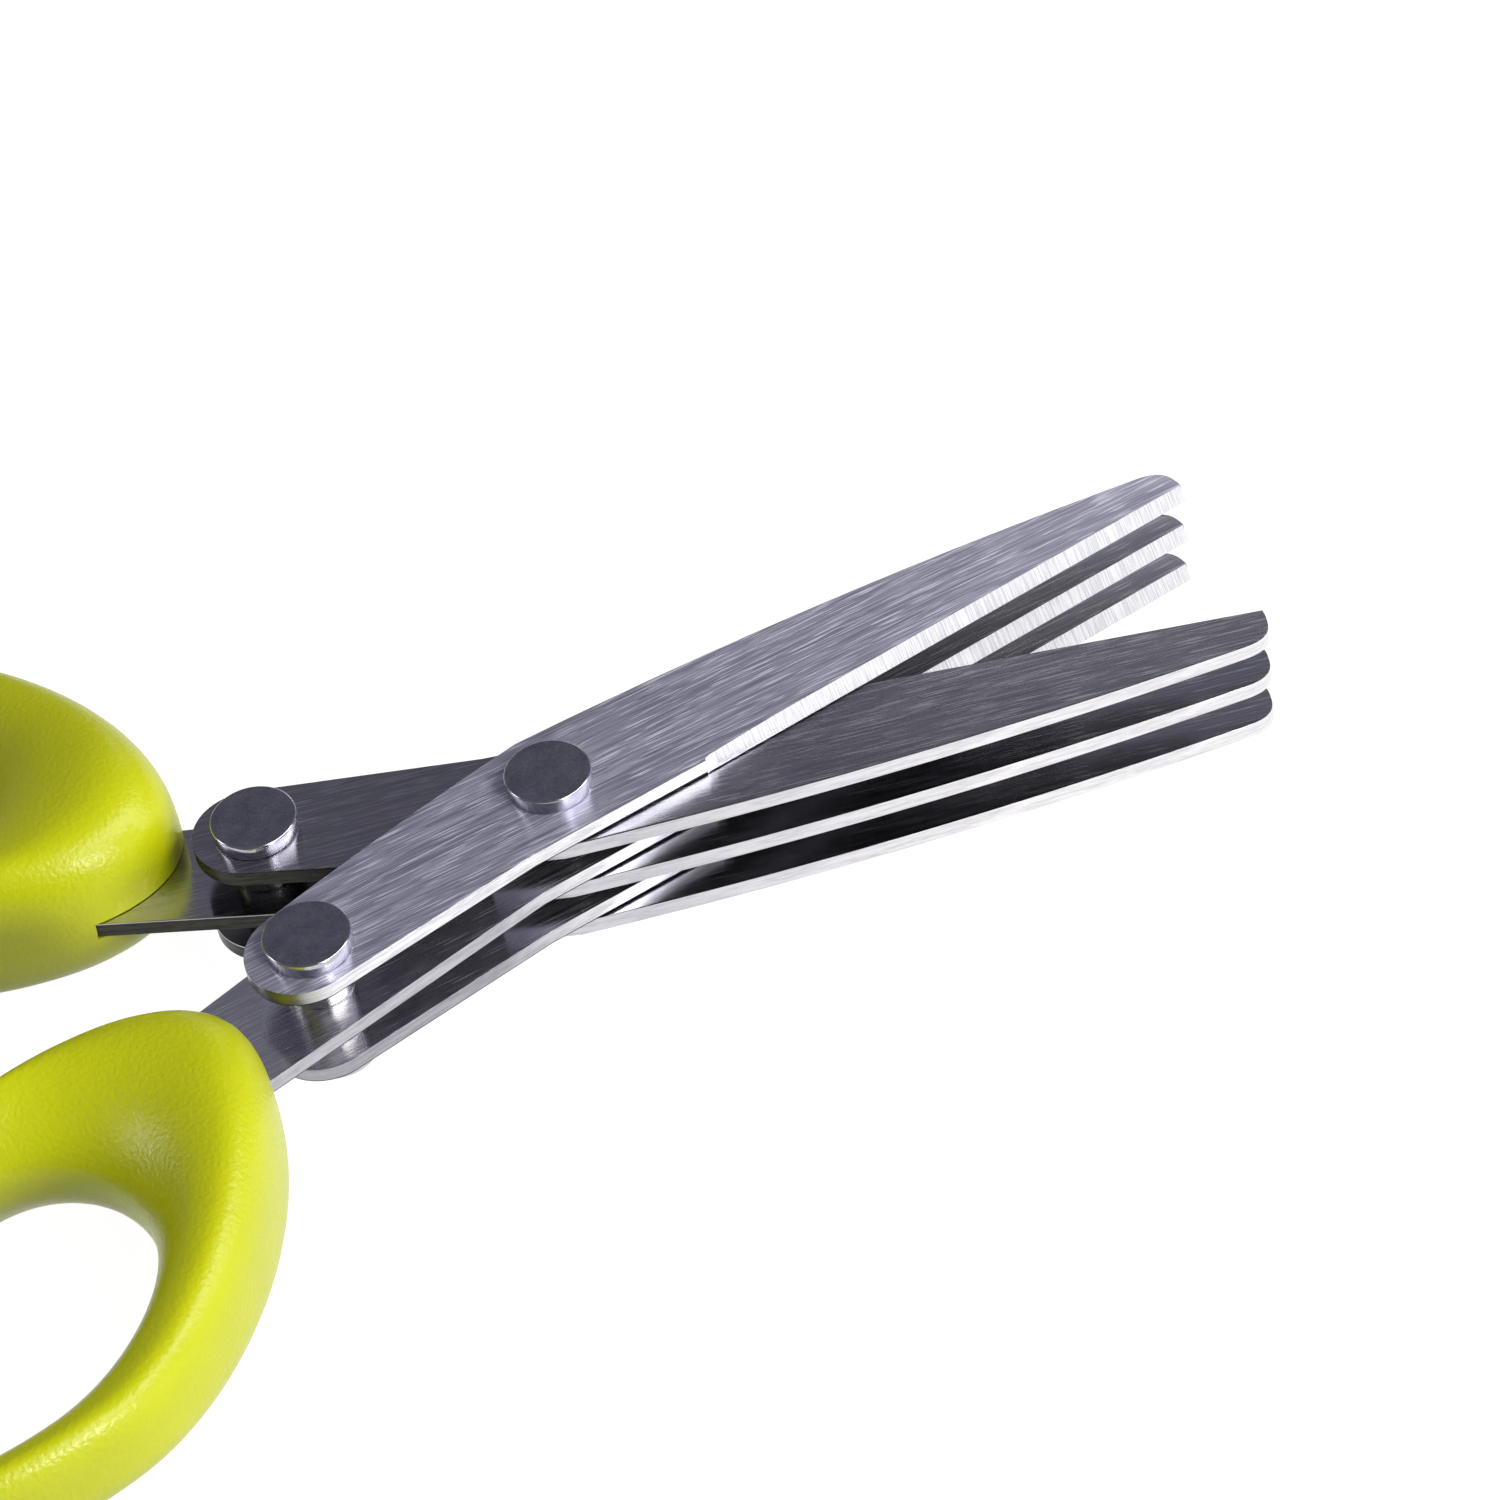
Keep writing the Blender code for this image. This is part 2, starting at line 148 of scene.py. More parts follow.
def linear(colour: str) -> Colour:
    """Turn an sRGB hex colour into the linear values that a shader takes.

    Args:
        colour: Six hex digits after a hash sign.

    Returns:
        Red, green, blue and alpha, each from 0 to 1.
    """
    channels = [int(colour[start : start + 2], 16) / 255 for start in (1, 3, 5)]
    values = [part / 12.92 if part <= 0.04045 else ((part + 0.055) / 1.055) ** 2.4 for part in channels]
    return values[0], values[1], values[2], 1.0


def add_node(tree: Tree, kind: str, settings: dict | None = None, *inputs: object, **named: object) -> Node:
    """Add a node, give it its settings, and link or set its inputs.

    Args:
        tree: The material's node tree.
        kind: Blender's name of the node's type.
        settings: Properties of the node itself.
        inputs: The output or value that each of the first inputs takes, in their order.
        named: The same by name, with underscores for spaces, or by an underscore and the input's number.

    Returns:
        The new node.
    """
    node = tree.nodes.new(kind)
    for name, value in (settings or {}).items():
        setattr(node, name, value)
    taken = list(enumerate(inputs))
    for name, value in named.items():
        taken.append((int(name[1:]) if name[0] == "_" else name.replace("_", " "), value))
    for key, value in taken:
        if isinstance(value, Socket):
            tree.links.new(value, node.inputs[key])
        else:
            node.inputs[key].default_value = value
    return node


def new_material(name: str) -> tuple[Material, Tree, Node]:
    """Make an empty Principled material.

    Args:
        name: The material's name.

    Returns:
        The material, its node tree and its Principled shader.
    """
    made = bpy.data.materials.new(name)
    made.use_nodes = True
    tree = made.node_tree
    return made, tree, tree.nodes["Principled BSDF"]


@dataclass(frozen=True)
class Grain:
    """A noise that is laid over a piece in the piece's own directions.

    The size is the length of one grain along each axis. It has some finer octaves, each weaker than the one
    before by the fading.
    """

    size: Point3
    octaves: float
    fading: float

    def lay(self, tree: Tree, turn: float = 0.0) -> Socket:
        """Add the noise to a material.

        Args:
            tree: The material's node tree.
            turn: How far the grain's length is turned from the piece's X axis, in radians.

        Returns:
            The noise's factor, from 0 to 1.
        """
        where = add_node(tree, "ShaderNodeTexCoord").outputs["Object"]
        spots = {"vector_type": "POINT"}
        turned = add_node(tree, "ShaderNodeMapping", spots, Vector=where, Rotation=(0, 0, -turn)).outputs[0]
        scale = tuple(1 / length for length in self.size)
        scaled = add_node(tree, "ShaderNodeMapping", spots, Vector=turned, Scale=scale).outputs[0]
        noise = {"Scale": 1.0, "Detail": self.octaves, "Roughness": self.fading}
        return add_node(tree, "ShaderNodeTexNoise", Vector=scaled, **noise).outputs["Fac"]


@dataclass(frozen=True)
class PaintedShade:
    """Painted shade that darkens a blade toward one end, for the darker things that the steel mirrors there.

    It starts and ends at distances ahead of the pivot, which are negative behind it.
    """

    colour: str
    start: float
    end: float

    def over(self, tree: Tree, base: Socket) -> Socket:
        """Darken a colour.

        Args:
            tree: The material's node tree.
            base: The colour, as a node's output.

        Returns:
            The darkened colour.
        """
        where = add_node(tree, "ShaderNodeTexCoord").outputs["Object"]
        along = add_node(tree, "ShaderNodeSeparateXYZ", {}, where).outputs[0]
        share = add_node(tree, "ShaderNodeMapRange", {}, along, self.start, self.end, 0.0, 1.0).outputs[0]
        mixed = add_node(tree, "ShaderNodeMix", SHADE_MIX, _0=share, _6=base, _7=linear(self.colour))
        return mixed.outputs[2]


@dataclass(frozen=True)
class Finish(ABC):
    """A surface in a light and a dark tone, which a pattern mixes."""

    name: str
    colour: str
    dark: str
    roughness: float

    @abstractmethod
    def build(self) -> Material:
        """Make the material."""

    def tones(self, tree: Tree, pattern: Socket, reach: Point) -> Socket:
        """Mix the two tones.

        Args:
            tree: The material's node tree.
            pattern: The pattern, as a node's output.
            reach: The pattern's values that give the dark and the light tone.

        Returns:
            The mixed colour.
        """
        share = add_node(tree, "ShaderNodeMapRange", {}, pattern, *reach, 0.0, 1.0).outputs[0]
        ends = {"_6": linear(self.dark), "_7": linear(self.colour)}
        return add_node(tree, "ShaderNodeMix", COLOUR_MIX, _0=share, **ends).outputs[2]


@dataclass(frozen=True)
class BrushedSteel(Finish):
    """Martensitic stainless strip, belt-brushed along the blade.

    The belt leaves long parallel scratches, so light spreads across them and the face looks streaked.
    Single coarse grains leave short bright scratches among the fine ones. The real ones are about 0.05 mm
    wide. That is too fine to show in the render, so they are drawn 0.12 to 0.16 mm wide. Where the belt was
    worn, faint bands 0.9 mm wide run along the blade.
    """

    scratches: str
    anisotropy: float
    shade: PaintedShade | None = None
    streak: Grain = Grain((9.0 * MM, 0.12 * MM, 4.0 * MM), 1.0, 0.5)
    band: Grain = Grain((45.0 * MM, 0.9 * MM, 4.0 * MM), 2.0, 0.5)
    scratch: Grain = Grain((4.5 * MM, 0.16 * MM, 4.0 * MM), 1.0, 0.5)
    band_shares: Point = (0.43, 0.57)
    tone_reach: Point = (0.86, 1.14)
    gloss_reach: Point = (0.84, 1.16)
    scratch_reach: Point = (0.58, 0.64)
    contrast: float = 0.06
    relief: float = 0.002 * MM

    def build(self) -> Material:
        """Make the material.

        Returns:
            The material, whose brushing runs along the piece's UV map.
        """
        made, tree, shader = new_material(self.name)
        streaks = self.streak.lay(tree, BRUSH_TURN)
        bands = self.band.lay(tree, BRUSH_TURN)
        scratches = self.scratch.lay(tree, BRUSH_TURN)
        faint = add_node(tree, "ShaderNodeMapRange", {}, bands, 0.0, 1.0, *self.band_shares).outputs[0]
        mixed = add_node(tree, "ShaderNodeMath", {"operation": "ADD"}, streaks, faint).outputs[0]
        brushed = self.tones(tree, mixed, self.tone_reach)
        marks = add_node(tree, "ShaderNodeMapRange", {}, scratches, *self.scratch_reach, 0.0, 1.0).outputs[0]
        ends = {"_6": brushed, "_7": linear(self.scratches)}
        bright = add_node(tree, "ShaderNodeMix", COLOUR_MIX, _0=marks, **ends).outputs[2]
        if self.shade:
            bright = self.shade.over(tree, bright)
        tree.links.new(bright, shader.inputs["Base Color"])
        gloss = (self.roughness - self.contrast / 2, self.roughness + self.contrast / 2)
        rough = add_node(tree, "ShaderNodeMapRange", {}, mixed, *self.gloss_reach, *gloss).outputs[0]
        open_up = add_node(tree, "ShaderNodeMath", {"operation": "MULTIPLY"}, marks, self.contrast).outputs[0]
        total = add_node(tree, "ShaderNodeMath", {"operation": "ADD"}, rough, open_up).outputs[0]
        tree.links.new(total, shader.inputs["Roughness"])
        bump = add_node(tree, "ShaderNodeBump", Height=streaks, Strength=1.0, Distance=self.relief)
        tree.links.new(bump.outputs[0], shader.inputs["Normal"])
        tangent = add_node(tree, "ShaderNodeTangent", {"direction_type": "UV_MAP"})
        tree.links.new(tangent.outputs[0], shader.inputs["Tangent"])
        shader.inputs["Metallic"].default_value = 1.0
        shader.inputs["Anisotropic"].default_value = self.anisotropy
        return made


@dataclass(frozen=True)
class GroundSteel(Finish):
    """Stainless steel ground across its edge on a wet wheel.

    The wheel leaves short bright marks square to the edge. Its grit is too fine to show in the render, so
    the marks are drawn 0.17 mm apart.
    """

    mark: Grain = Grain((0.17 * MM, 5.0 * MM, 5.0 * MM), 3.0, 0.65)
    tone_reach: Point = (0.38, 0.6)
    relief: float = 0.002 * MM

    def build(self) -> Material:
        """Make the material.

        Returns:
            The material.
        """
        made, tree, shader = new_material(self.name)
        marks = self.mark.lay(tree)
        tree.links.new(self.tones(tree, marks, self.tone_reach), shader.inputs["Base Color"])
        bump = add_node(tree, "ShaderNodeBump", Height=marks, Strength=1.0, Distance=self.relief)
        tree.links.new(bump.outputs[0], shader.inputs["Normal"])
        shader.inputs["Metallic"].default_value = 1.0
        shader.inputs["Roughness"].default_value = self.roughness
        return made


@dataclass(frozen=True)
class ShearedSteel(Finish):
    """The edge of a stainless blank as the press left it, lightly tumbled.

    The torn grain is fine and uneven, so the wall sparkles in places.
    """

    shade: PaintedShade | None = None
    tear: Grain = Grain((1.3 * MM, 1.3 * MM, 0.1 * MM), 4.0, 0.7)
    patch: Grain = Grain((5.2 * MM, 5.2 * MM, 0.4 * MM), 2.0, 0.5)
    tone_reach: Point = (0.75, 1.15)
    relief: float = 0.012 * MM
    relief_share: float = 0.8

    def build(self) -> Material:
        """Make the material.

        Returns:
            The material.
        """
        made, tree, shader = new_material(self.name)
        tears = self.tear.lay(tree)
        patches = self.patch.lay(tree)
        mixed = add_node(tree, "ShaderNodeMath", {"operation": "ADD"}, tears, patches).outputs[0]
        torn = self.tones(tree, mixed, self.tone_reach)
        if self.shade:
            torn = self.shade.over(tree, torn)
        tree.links.new(torn, shader.inputs["Base Color"])
        raised = {"Strength": self.relief_share, "Distance": self.relief}
        bump = add_node(tree, "ShaderNodeBump", Height=tears, **raised)
        tree.links.new(bump.outputs[0], shader.inputs["Normal"])
        shader.inputs["Metallic"].default_value = 1.0
        shader.inputs["Roughness"].default_value = self.roughness
        return made


@dataclass(frozen=True)
class TumbledSteel(Finish):
    """Free-cutting steel pins, tumbled and passivated.

    Tumbling leaves an even, faintly speckled satin with no direction. Its specks are too fine to show in
    the render, so they are drawn 0.24 mm apart.
    """

    relief: float = 0.0025 * MM
    unevenness: float = 0.06
    speck: Grain = Grain((0.24 * MM, 0.24 * MM, 0.24 * MM), 4.0, 0.7)
    cloud: Grain = Grain((1.68 * MM, 1.68 * MM, 1.68 * MM), 2.0, 0.5)
    tone_reach: Point = (0.7, 1.3)
    gloss_reach: Point = (0.35, 0.65)

    def build(self) -> Material:
        """Make the material.

        Returns:
            The material.
        """
        made, tree, shader = new_material(self.name)
        specks = self.speck.lay(tree)
        clouds = self.cloud.lay(tree)
        mixed = add_node(tree, "ShaderNodeMath", {"operation": "ADD"}, specks, clouds).outputs[0]
        tree.links.new(self.tones(tree, mixed, self.tone_reach), shader.inputs["Base Color"])
        gloss = (self.roughness - self.unevenness, self.roughness + self.unevenness)
        rough = add_node(tree, "ShaderNodeMapRange", {}, specks, *self.gloss_reach, *gloss)
        tree.links.new(rough.outputs[0], shader.inputs["Roughness"])
        bump = add_node(tree, "ShaderNodeBump", Height=specks, Strength=1.0, Distance=self.relief)
        tree.links.new(bump.outputs[0], shader.inputs["Normal"])
        shader.inputs["Metallic"].default_value = 1.0
        return made


@dataclass(frozen=True)
class MouldedPlastic(Finish):
    """Polypropylene coloured through, moulded in a finely spark-eroded tool.

    The tool leaves a shallow orange-peel grain that breaks up the highlights. The real grain is too fine to
    show in the render, so it is drawn 0.5 mm wide. A little light enters the plastic and comes out yellow,
    since it loses its blue first.
    """

    specular: float
    peel: Grain = Grain((0.5 * MM, 0.5 * MM, 0.5 * MM), 1.0, 0.5)
    cloud: Grain = Grain((20.0 * MM, 20.0 * MM, 20.0 * MM), 3.0, 0.5)
    tone_reach: Point = (0.35, 0.65)
    gloss_reach: Point = (0.3, 0.7)
    unevenness: float = 0.05
    relief: float = 0.12 * MM
    relief_share: float = 0.6
    ior: float = 1.49
    bleed_share: float = 0.12
    bleed_shares: Point3 = (1.0, 0.9, 0.2)
    bleed_depth: float = 1.5 * MM

    def build(self) -> Material:
        """Make the material.

        Returns:
            The material.
        """
        made, tree, shader = new_material(self.name)
        peel = self.peel.lay(tree)
        clouds = self.cloud.lay(tree)
        tree.links.new(self.tones(tree, clouds, self.tone_reach), shader.inputs["Base Color"])
        gloss = (self.roughness - self.unevenness, self.roughness + self.unevenness)
        rough = add_node(tree, "ShaderNodeMapRange", {}, peel, *self.gloss_reach, *gloss)
        tree.links.new(rough.outputs[0], shader.inputs["Roughness"])
        raised = {"Strength": self.relief_share, "Distance": self.relief}
        bump = add_node(tree, "ShaderNodeBump", Height=peel, **raised)
        tree.links.new(bump.outputs[0], shader.inputs["Normal"])
        shader.inputs["IOR"].default_value = self.ior
        shader.inputs["Specular IOR Level"].default_value = self.specular
        shader.inputs["Subsurface Weight"].default_value = self.bleed_share
        shader.inputs["Subsurface Radius"].default_value = self.bleed_shares
        shader.inputs["Subsurface Scale"].default_value = self.bleed_depth
        return made


def add_piece(name: str, mesh: bpy.types.Mesh) -> Piece:
    """Put a mesh into the scene.

    Args:
        name: The piece's name.
        mesh: Its mesh.

    Returns:
        The piece.
    """
    piece = bpy.data.objects.new(name, mesh)
    bpy.context.scene.collection.objects.link(piece)
    return piece


def mesh_from(name: str, shape: bmesh.types.BMesh) -> bpy.types.Mesh:
    """Turn a closed bmesh into a mesh with its faces pointing out and its round sides smooth.

    Args:
        name: The mesh's name.
        shape: The bmesh, which is freed.

    Returns:
        The mesh.
    """
    bmesh.ops.recalc_face_normals(shape, faces=shape.faces)
    mesh = bpy.data.meshes.new(name)
    shape.to_mesh(mesh)
    shape.free()
    mesh.shade_smooth()
    mesh.set_sharp_from_angle(angle=SMOOTH_LIMIT)
    return mesh


def bake_modifiers(piece: Piece) -> None:
    """Apply every modifier of a piece to its mesh.

    Args:
        piece: The piece, which takes a new mesh.
    """
    bpy.context.view_layer.update()
    settled = piece.evaluated_get(bpy.context.evaluated_depsgraph_get())
    mesh = bpy.data.meshes.new_from_object(settled)
    piece.modifiers.clear()
    old = piece.data
    piece.data = mesh
    bpy.data.meshes.remove(old)


def even_flats(piece: Piece) -> None:
    """Let large faces keep their own direction, so that only the small breaks at corners look round.

    Args:
        piece: The piece, whose modifiers are all applied.
    """
    even = piece.modifiers.new("even_flats", "WEIGHTED_NORMAL")
    even.keep_sharp = True
    bake_modifiers(piece)


def cut(piece: Piece, tools: list[Piece]) -> None:
    """Cut a piece with helpers and apply the cuts.

    Args:
        piece: The piece.
        tools: The helpers, which are removed.
    """
    for tool in tools:
        boolean = piece.modifiers.new(tool.name, "BOOLEAN")
        boolean.operation = "DIFFERENCE"
        boolean.solver = "EXACT"
        boolean.object = tool
    bake_modifiers(piece)
    for tool in tools:
        bpy.data.objects.remove(tool, do_unlink=True)


def bezier(start: Point, first: Point, second: Point, end: Point, steps: int) -> list[Point]:
    """Follow a cubic curve.

    Args:
        start: Its first point.
        first: The handle of its first point.
        second: The handle of its last point.
        end: Its last point.
        steps: How many steps it has.

    Returns:
        Its points, with the last one left out.
    """
    points = []
    for step in range(steps):
        done = step / steps
        left = 1 - done
        weights = (left * left * left, 3 * left * left * done, 3 * left * done * done, done * done * done)
        corners = (start, first, second, end)
        pulls = list(zip(weights, corners))
        points.append(tuple(sum(weight * corner[axis] for weight, corner in pulls) for axis in (0, 1)))
    return points


def bowed(start: Point, end: Point, bow: float, steps: int) -> list[Point]:
    """Follow a line that bows out.

    Args:
        start: Its first point.
        end: Its last point.
        bow: How far it rises at its middle.
        steps: How many steps it has.

    Returns:
        Its points, with the last one left out.
    """
    points = []
    for step in range(steps):
        share = step / steps
        x = start[0] + share * (end[0] - start[0])
        y = start[1] + share * (end[1] - start[1])
        points.append((x, y + 4 * bow * share * (1 - share)))
    return points


def lathe(name: str, profile: list[Point], steps: int) -> bpy.types.Mesh:
    """Turn a profile of radius and height about the Z axis.

    Args:
        name: The mesh's name.
        profile: Points from the top down. It closes on itself where it doesn't start on the axis.
        steps: How many steps the turn has.

    Returns:
        The closed mesh.
    """
    shape = bmesh.new()
    rings = []
    for radius, height in profile:
        if radius == 0:
            rings.append([shape.verts.new((0, 0, height))])
            continue
        turns = [math.tau * step / steps for step in range(steps)]
        circle = [(radius * math.cos(turn), radius * math.sin(turn), height) for turn in turns]
        rings.append([shape.verts.new(spot) for spot in circle])
    pairs = list(zip(rings, rings[1:]))
    if profile[0][0] > 0:
        pairs.append((rings[-1], rings[0]))
    for upper, lower in pairs:
        for here in range(steps):
            after = (here + 1) % steps
            corners = [upper[here % len(upper)], lower[here % len(lower)], lower[after % len(lower)]]
            corners.append(upper[after % len(upper)])
            shape.faces.new(list(dict.fromkeys(corners)))
    return mesh_from(name, shape)


@dataclass
class Half:
    """One half's place in the open scissors."""

    side: Side
    half_opening: float = math.radians(19.1)

    @property
    def matrix(self) -> Matrix:
        """Turn from the half's own directions to the model's.

        Returns:
            The turn about the pivot, after side B is turned over.
        """
        if self.side is Side.A:
            return Matrix.Rotation(self.half_opening, 4, "Z")
        return Matrix.Rotation(-self.half_opening, 4, "Z") @ Matrix.Rotation(math.pi, 4, "X")

    def middle(self, node: str) -> float:
        """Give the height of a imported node's middle along the half's own Z."""
        low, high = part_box(node)
        return self.side.up * (low.z + high.z) / 2

    def seat(self, piece: Piece, node: str, slot: str, turned: bool = False) -> None:
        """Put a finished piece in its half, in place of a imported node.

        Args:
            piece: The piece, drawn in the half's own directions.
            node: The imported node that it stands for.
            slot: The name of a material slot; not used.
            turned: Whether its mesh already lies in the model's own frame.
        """
        if not turned:
            piece.matrix_world = self.matrix @ piece.matrix_world
        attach(piece, self.side.body)
        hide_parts(node)
        LOG.info("%s stands for %s, with %d faces", piece.name, node, len(piece.data.polygons))


@dataclass(frozen=True)
class Corner:
    """One corner of a blade's outline.

    It lies at x and y on the flat side. The other side is drawn in there by some length, and the wheel has
    ground away some share of the wall.
    """

    x: float
    y: float
    drawn_in: float = 0.0
    ground: float = 0.0


@dataclass
class Blades:
    """The three blades of one half: two short outer ones and a middle one with its tang.

    The last four fields tell how far a face leans before it counts as part of a zone.
    """

    half: Half
    thickness: float = 1.8 * MM
    rivet_reach: float = 29.3 * MM
    heel_overhang: float = 0.8 * MM
    spine_at_heel: float = 5.8 * MM
    spine_at_pivot: float = 6.9 * MM
    crest_reach: float = 1.0 * MM
    spine_at_nose: float = -10.2 * MM
    nose_reach: float = 68.6 * MM
    spine_bow: float = 1.3 * MM
    rear_spine_bow: float = 0.3 * MM
    tip_reach: float = 70.9 * MM
    tip_drop: float = 15.05 * MM
    nose_bulge: float = 2.6 * MM
    edge_at_heel: float = -5.5 * MM
    waist_behind_pivot: float = 7.0 * MM
    edge_at_waist: float = -6.4 * MM
    bevel_start: float = 12.5 * MM
    edge_at_bevel_start: float = -8.85 * MM
    bevel_width: float = 0.78 * MM
    bevel_run_out: float = 1.2 * MM
    land_reach: float = 21.5 * MM
    first_grind_share: float = 0.62
    tang_reach: float = 53.0 * MM
    tang_spine_at_rivet: float = 6.4 * MM
    tang_spine_at_end: float = 4.9 * MM
    tang_edge: float = -6.5 * MM
    tang_corner: float = 1.5 * MM
    anchor_radius: float = 2.2 * MM
    anchor_from_end: float = 5.8 * MM
    pivot_bore: float = 2.3 * MM
    rear_bore: float = 2.1 * MM
    edge_break: float = 0.12 * MM
    rolled_break: float = 0.3 * MM
    break_steps: int = 2
    hollow: float = 0.14 * MM
    steps: int = 24
    bore_steps: int = 48
    side_normal: float = 0.9
    corner_normal: float = 0.2
    edge_normal: float = 0.5
    ground_normal: float = 0.1

    def edge_height(self, x: float) -> float:
        """Give the height of the bevelled cutting edge at a distance from the pivot."""
        share = (x - self.bevel_start) / (self.tip_reach - self.bevel_start)
        return self.edge_at_bevel_start + share * (-self.tip_drop - self.edge_at_bevel_start)

    def nose(self) -> list[Point]:
        """Draw the rounded nose.

        Returns:
            Its points from the end of the spine to the tip.
        """
        run = self.nose_reach - self.crest_reach
        slope = (self.spine_at_nose - self.spine_at_pivot - 4 * self.spine_bow) / run
        start = (self.nose_reach, self.spine_at_nose)
        first = (self.nose_reach + self.nose_bulge, self.spine_at_nose + slope * self.nose_bulge)
        second = (self.tip_reach + self.bevel_width, self.nose_bulge - self.tip_drop)
        tip = (self.tip_reach, -self.tip_drop)
        return bezier(start, first, second, tip, self.steps) + [tip]

    def heel(self) -> list[Point]:
        """Draw the round rear end of an outer blade.

        Returns:
            Its points from the cutting side to the spine side.
        """
        centre = -self.rivet_reach - self.heel_overhang
        radius = (self.spine_at_heel - self.edge_at_heel) / 2
        points = []
        for step in range(2 * self.steps + 1):
            angle = math.pi * step / (2 * self.steps)
            height = self.spine_at_heel if step > self.steps else -self.edge_at_heel
            points.append((centre - radius * math.sin(angle), -height * math.cos(angle)))
        return points

    def tang(self) -> list[Point]:
        """Draw the rear end of a middle blade.

        Returns:
            Its points from the cutting side to the spine side.
        """
        return [
            (-self.rivet_reach, self.tang_edge),
            (self.tang_corner - self.tang_reach, self.tang_edge),
            (-self.tang_reach, self.tang_edge + self.tang_corner),
            (-self.tang_reach, self.tang_spine_at_end - self.tang_corner),
            (self.tang_corner - self.tang_reach, self.tang_spine_at_end),
            (-self.rivet_reach, self.tang_spine_at_rivet),
        ]

    def outline(self, place: Place) -> list[Corner]:
        """Draw a blade's outline, and what the wheel took from it.

        Args:
            place: Which of the three blades it is.

        Returns:
            Its corners from the crest of the spine forward and round.
        """
        crest = (self.crest_reach, self.spine_at_pivot)
        rear = self.tang() if place is Place.MIDDLE else self.heel()
        spine = bowed(crest, (self.nose_reach, self.spine_at_nose), self.spine_bow, self.steps)
        corners = [Corner(x, y) for x, y in spine]
        for x, y in self.nose():
            drawn_in = max(0.0, self.edge_height(x) + self.bevel_width - y)
            corners.append(Corner(x, y, drawn_in, 1.0 if drawn_in else 0.0))
        starts = [(self.land_reach, 1.0)]
        for step in range(self.steps // 2, -1, -1):
            turn = math.pi / 2 * step / (self.steps // 2)
            x = self.bevel_start + self.bevel_run_out * (1 - math.cos(turn))
            starts.append((x, self.first_grind_share * math.sin(turn)))
        corners += [Corner(x, self.edge_height(x), self.bevel_width * ground, ground) for x, ground in starts]
        corners.append(Corner(-self.waist_behind_pivot, self.edge_at_waist))
        rear_spine = bowed(rear[-1], crest, self.rear_spine_bow, self.steps // 2)
        return corners + [Corner(x, y) for x, y in rear[:-1] + rear_spine]

    def bore(self, radius: float, reach: float) -> Piece:
        """Make a helper that bores a blade.

        Args:
            radius: The bore's radius.
            reach: How far it lies behind the pivot.

        Returns:
            The helper.
        """
        tall = 2 * self.thickness
        profile = [(0, tall), (radius, tall), (radius, -tall), (0, -tall)]
        tool = add_piece("bore", lathe("bore", profile, self.bore_steps))
        tool.location.x = -reach
        return tool

    def blank(self, name: str, place: Place) -> Piece:
        """Make a blade's bare solid, its flat side down.

        Its corners are lightly broken, apart from the ground ones: the wheel leaves those sharp.

        Args:
            name: The piece's name.
            place: Which of the three blades it is.

        Returns:
            The piece, with its breaks still a modifier.
        """
        corners = self.outline(place)
        lift = self.thickness / 2
        shape = bmesh.new()
        # The flat side is hollow toward the edge, at its full depth once half of the wall is ground away.
        hollow = self.hollow if self.half.side is Side.A else 0.0
        depths = [hollow * min(1.0, 2 * corner.ground) - lift for corner in corners]
        flat = [shape.verts.new((corner.x, corner.y, depth)) for corner, depth in zip(corners, depths)]
        bevelled = [shape.verts.new((corner.x, corner.y + corner.drawn_in, lift)) for corner in corners]
        ridge = []
        for here, corner in enumerate(corners):
            if corner.ground in (0.0, 1.0):
                ridge.append(flat[here] if corner.ground else bevelled[here])
            else:
                ridge.append(shape.verts.new((corner.x, corner.y, lift - self.thickness * corner.ground)))
        shape.faces.new(flat)
        shape.faces.new(bevelled)
        for lower, upper in ((flat, ridge), (ridge, bevelled)):
            for here in range(len(corners)):
                after = (here + 1) % len(corners)
                around = dict.fromkeys((lower[here], upper[here], upper[after], lower[after]))
                if len(around) > 2:
                    shape.faces.new(list(around))
        weight = shape.edges.layers.float.new("bevel_weight_edge")
        light_share = self.edge_break / self.rolled_break
        for row, share in ((flat, 1.0 if self.half.side is Side.A else light_share), (bevelled, light_share)):
            for here in range(len(corners)):
                after = (here + 1) % len(corners)
                if not (corners[here].ground or corners[after].ground):
                    shape.edges.get((row[here], row[after]))[weight] = share
        piece = add_piece(name, mesh_from(name, shape))
        breaks = piece.modifiers.new("edge_break", "BEVEL")
        breaks.width = self.rolled_break
        breaks.segments = self.break_steps
        breaks.limit_method = "WEIGHT"
        breaks.use_clamp_overlap = False
        return piece

    def zone(self, face: bpy.types.MeshPolygon) -> Zone:
        """Tell which zone of a blade a face belongs to.

        Args:
            face: A face of the blade, still in the half's own directions.

        Returns:
            The zone.
        """
        normal = face.normal
        x, y = face.center.to_2d()
        if abs(normal.z) > self.side_normal:
            return Zone.BEVELLED_SIDE if normal.z > 0 else Zone.FLAT_SIDE
        if normal.z < -self.corner_normal:
            return Zone.CORNER
        low = y < self.edge_height(x) + self.bevel_width
        leans = normal.y < -self.edge_normal and normal.z > self.ground_normal
        if x > self.bevel_start and low and leans:
            return Zone.BEVEL if x > self.bevel_start + self.bevel_run_out else Zone.RUN_OUT
        return Zone.FRONT_WALL if x > -self.waist_behind_pivot else Zone.REAR_WALL

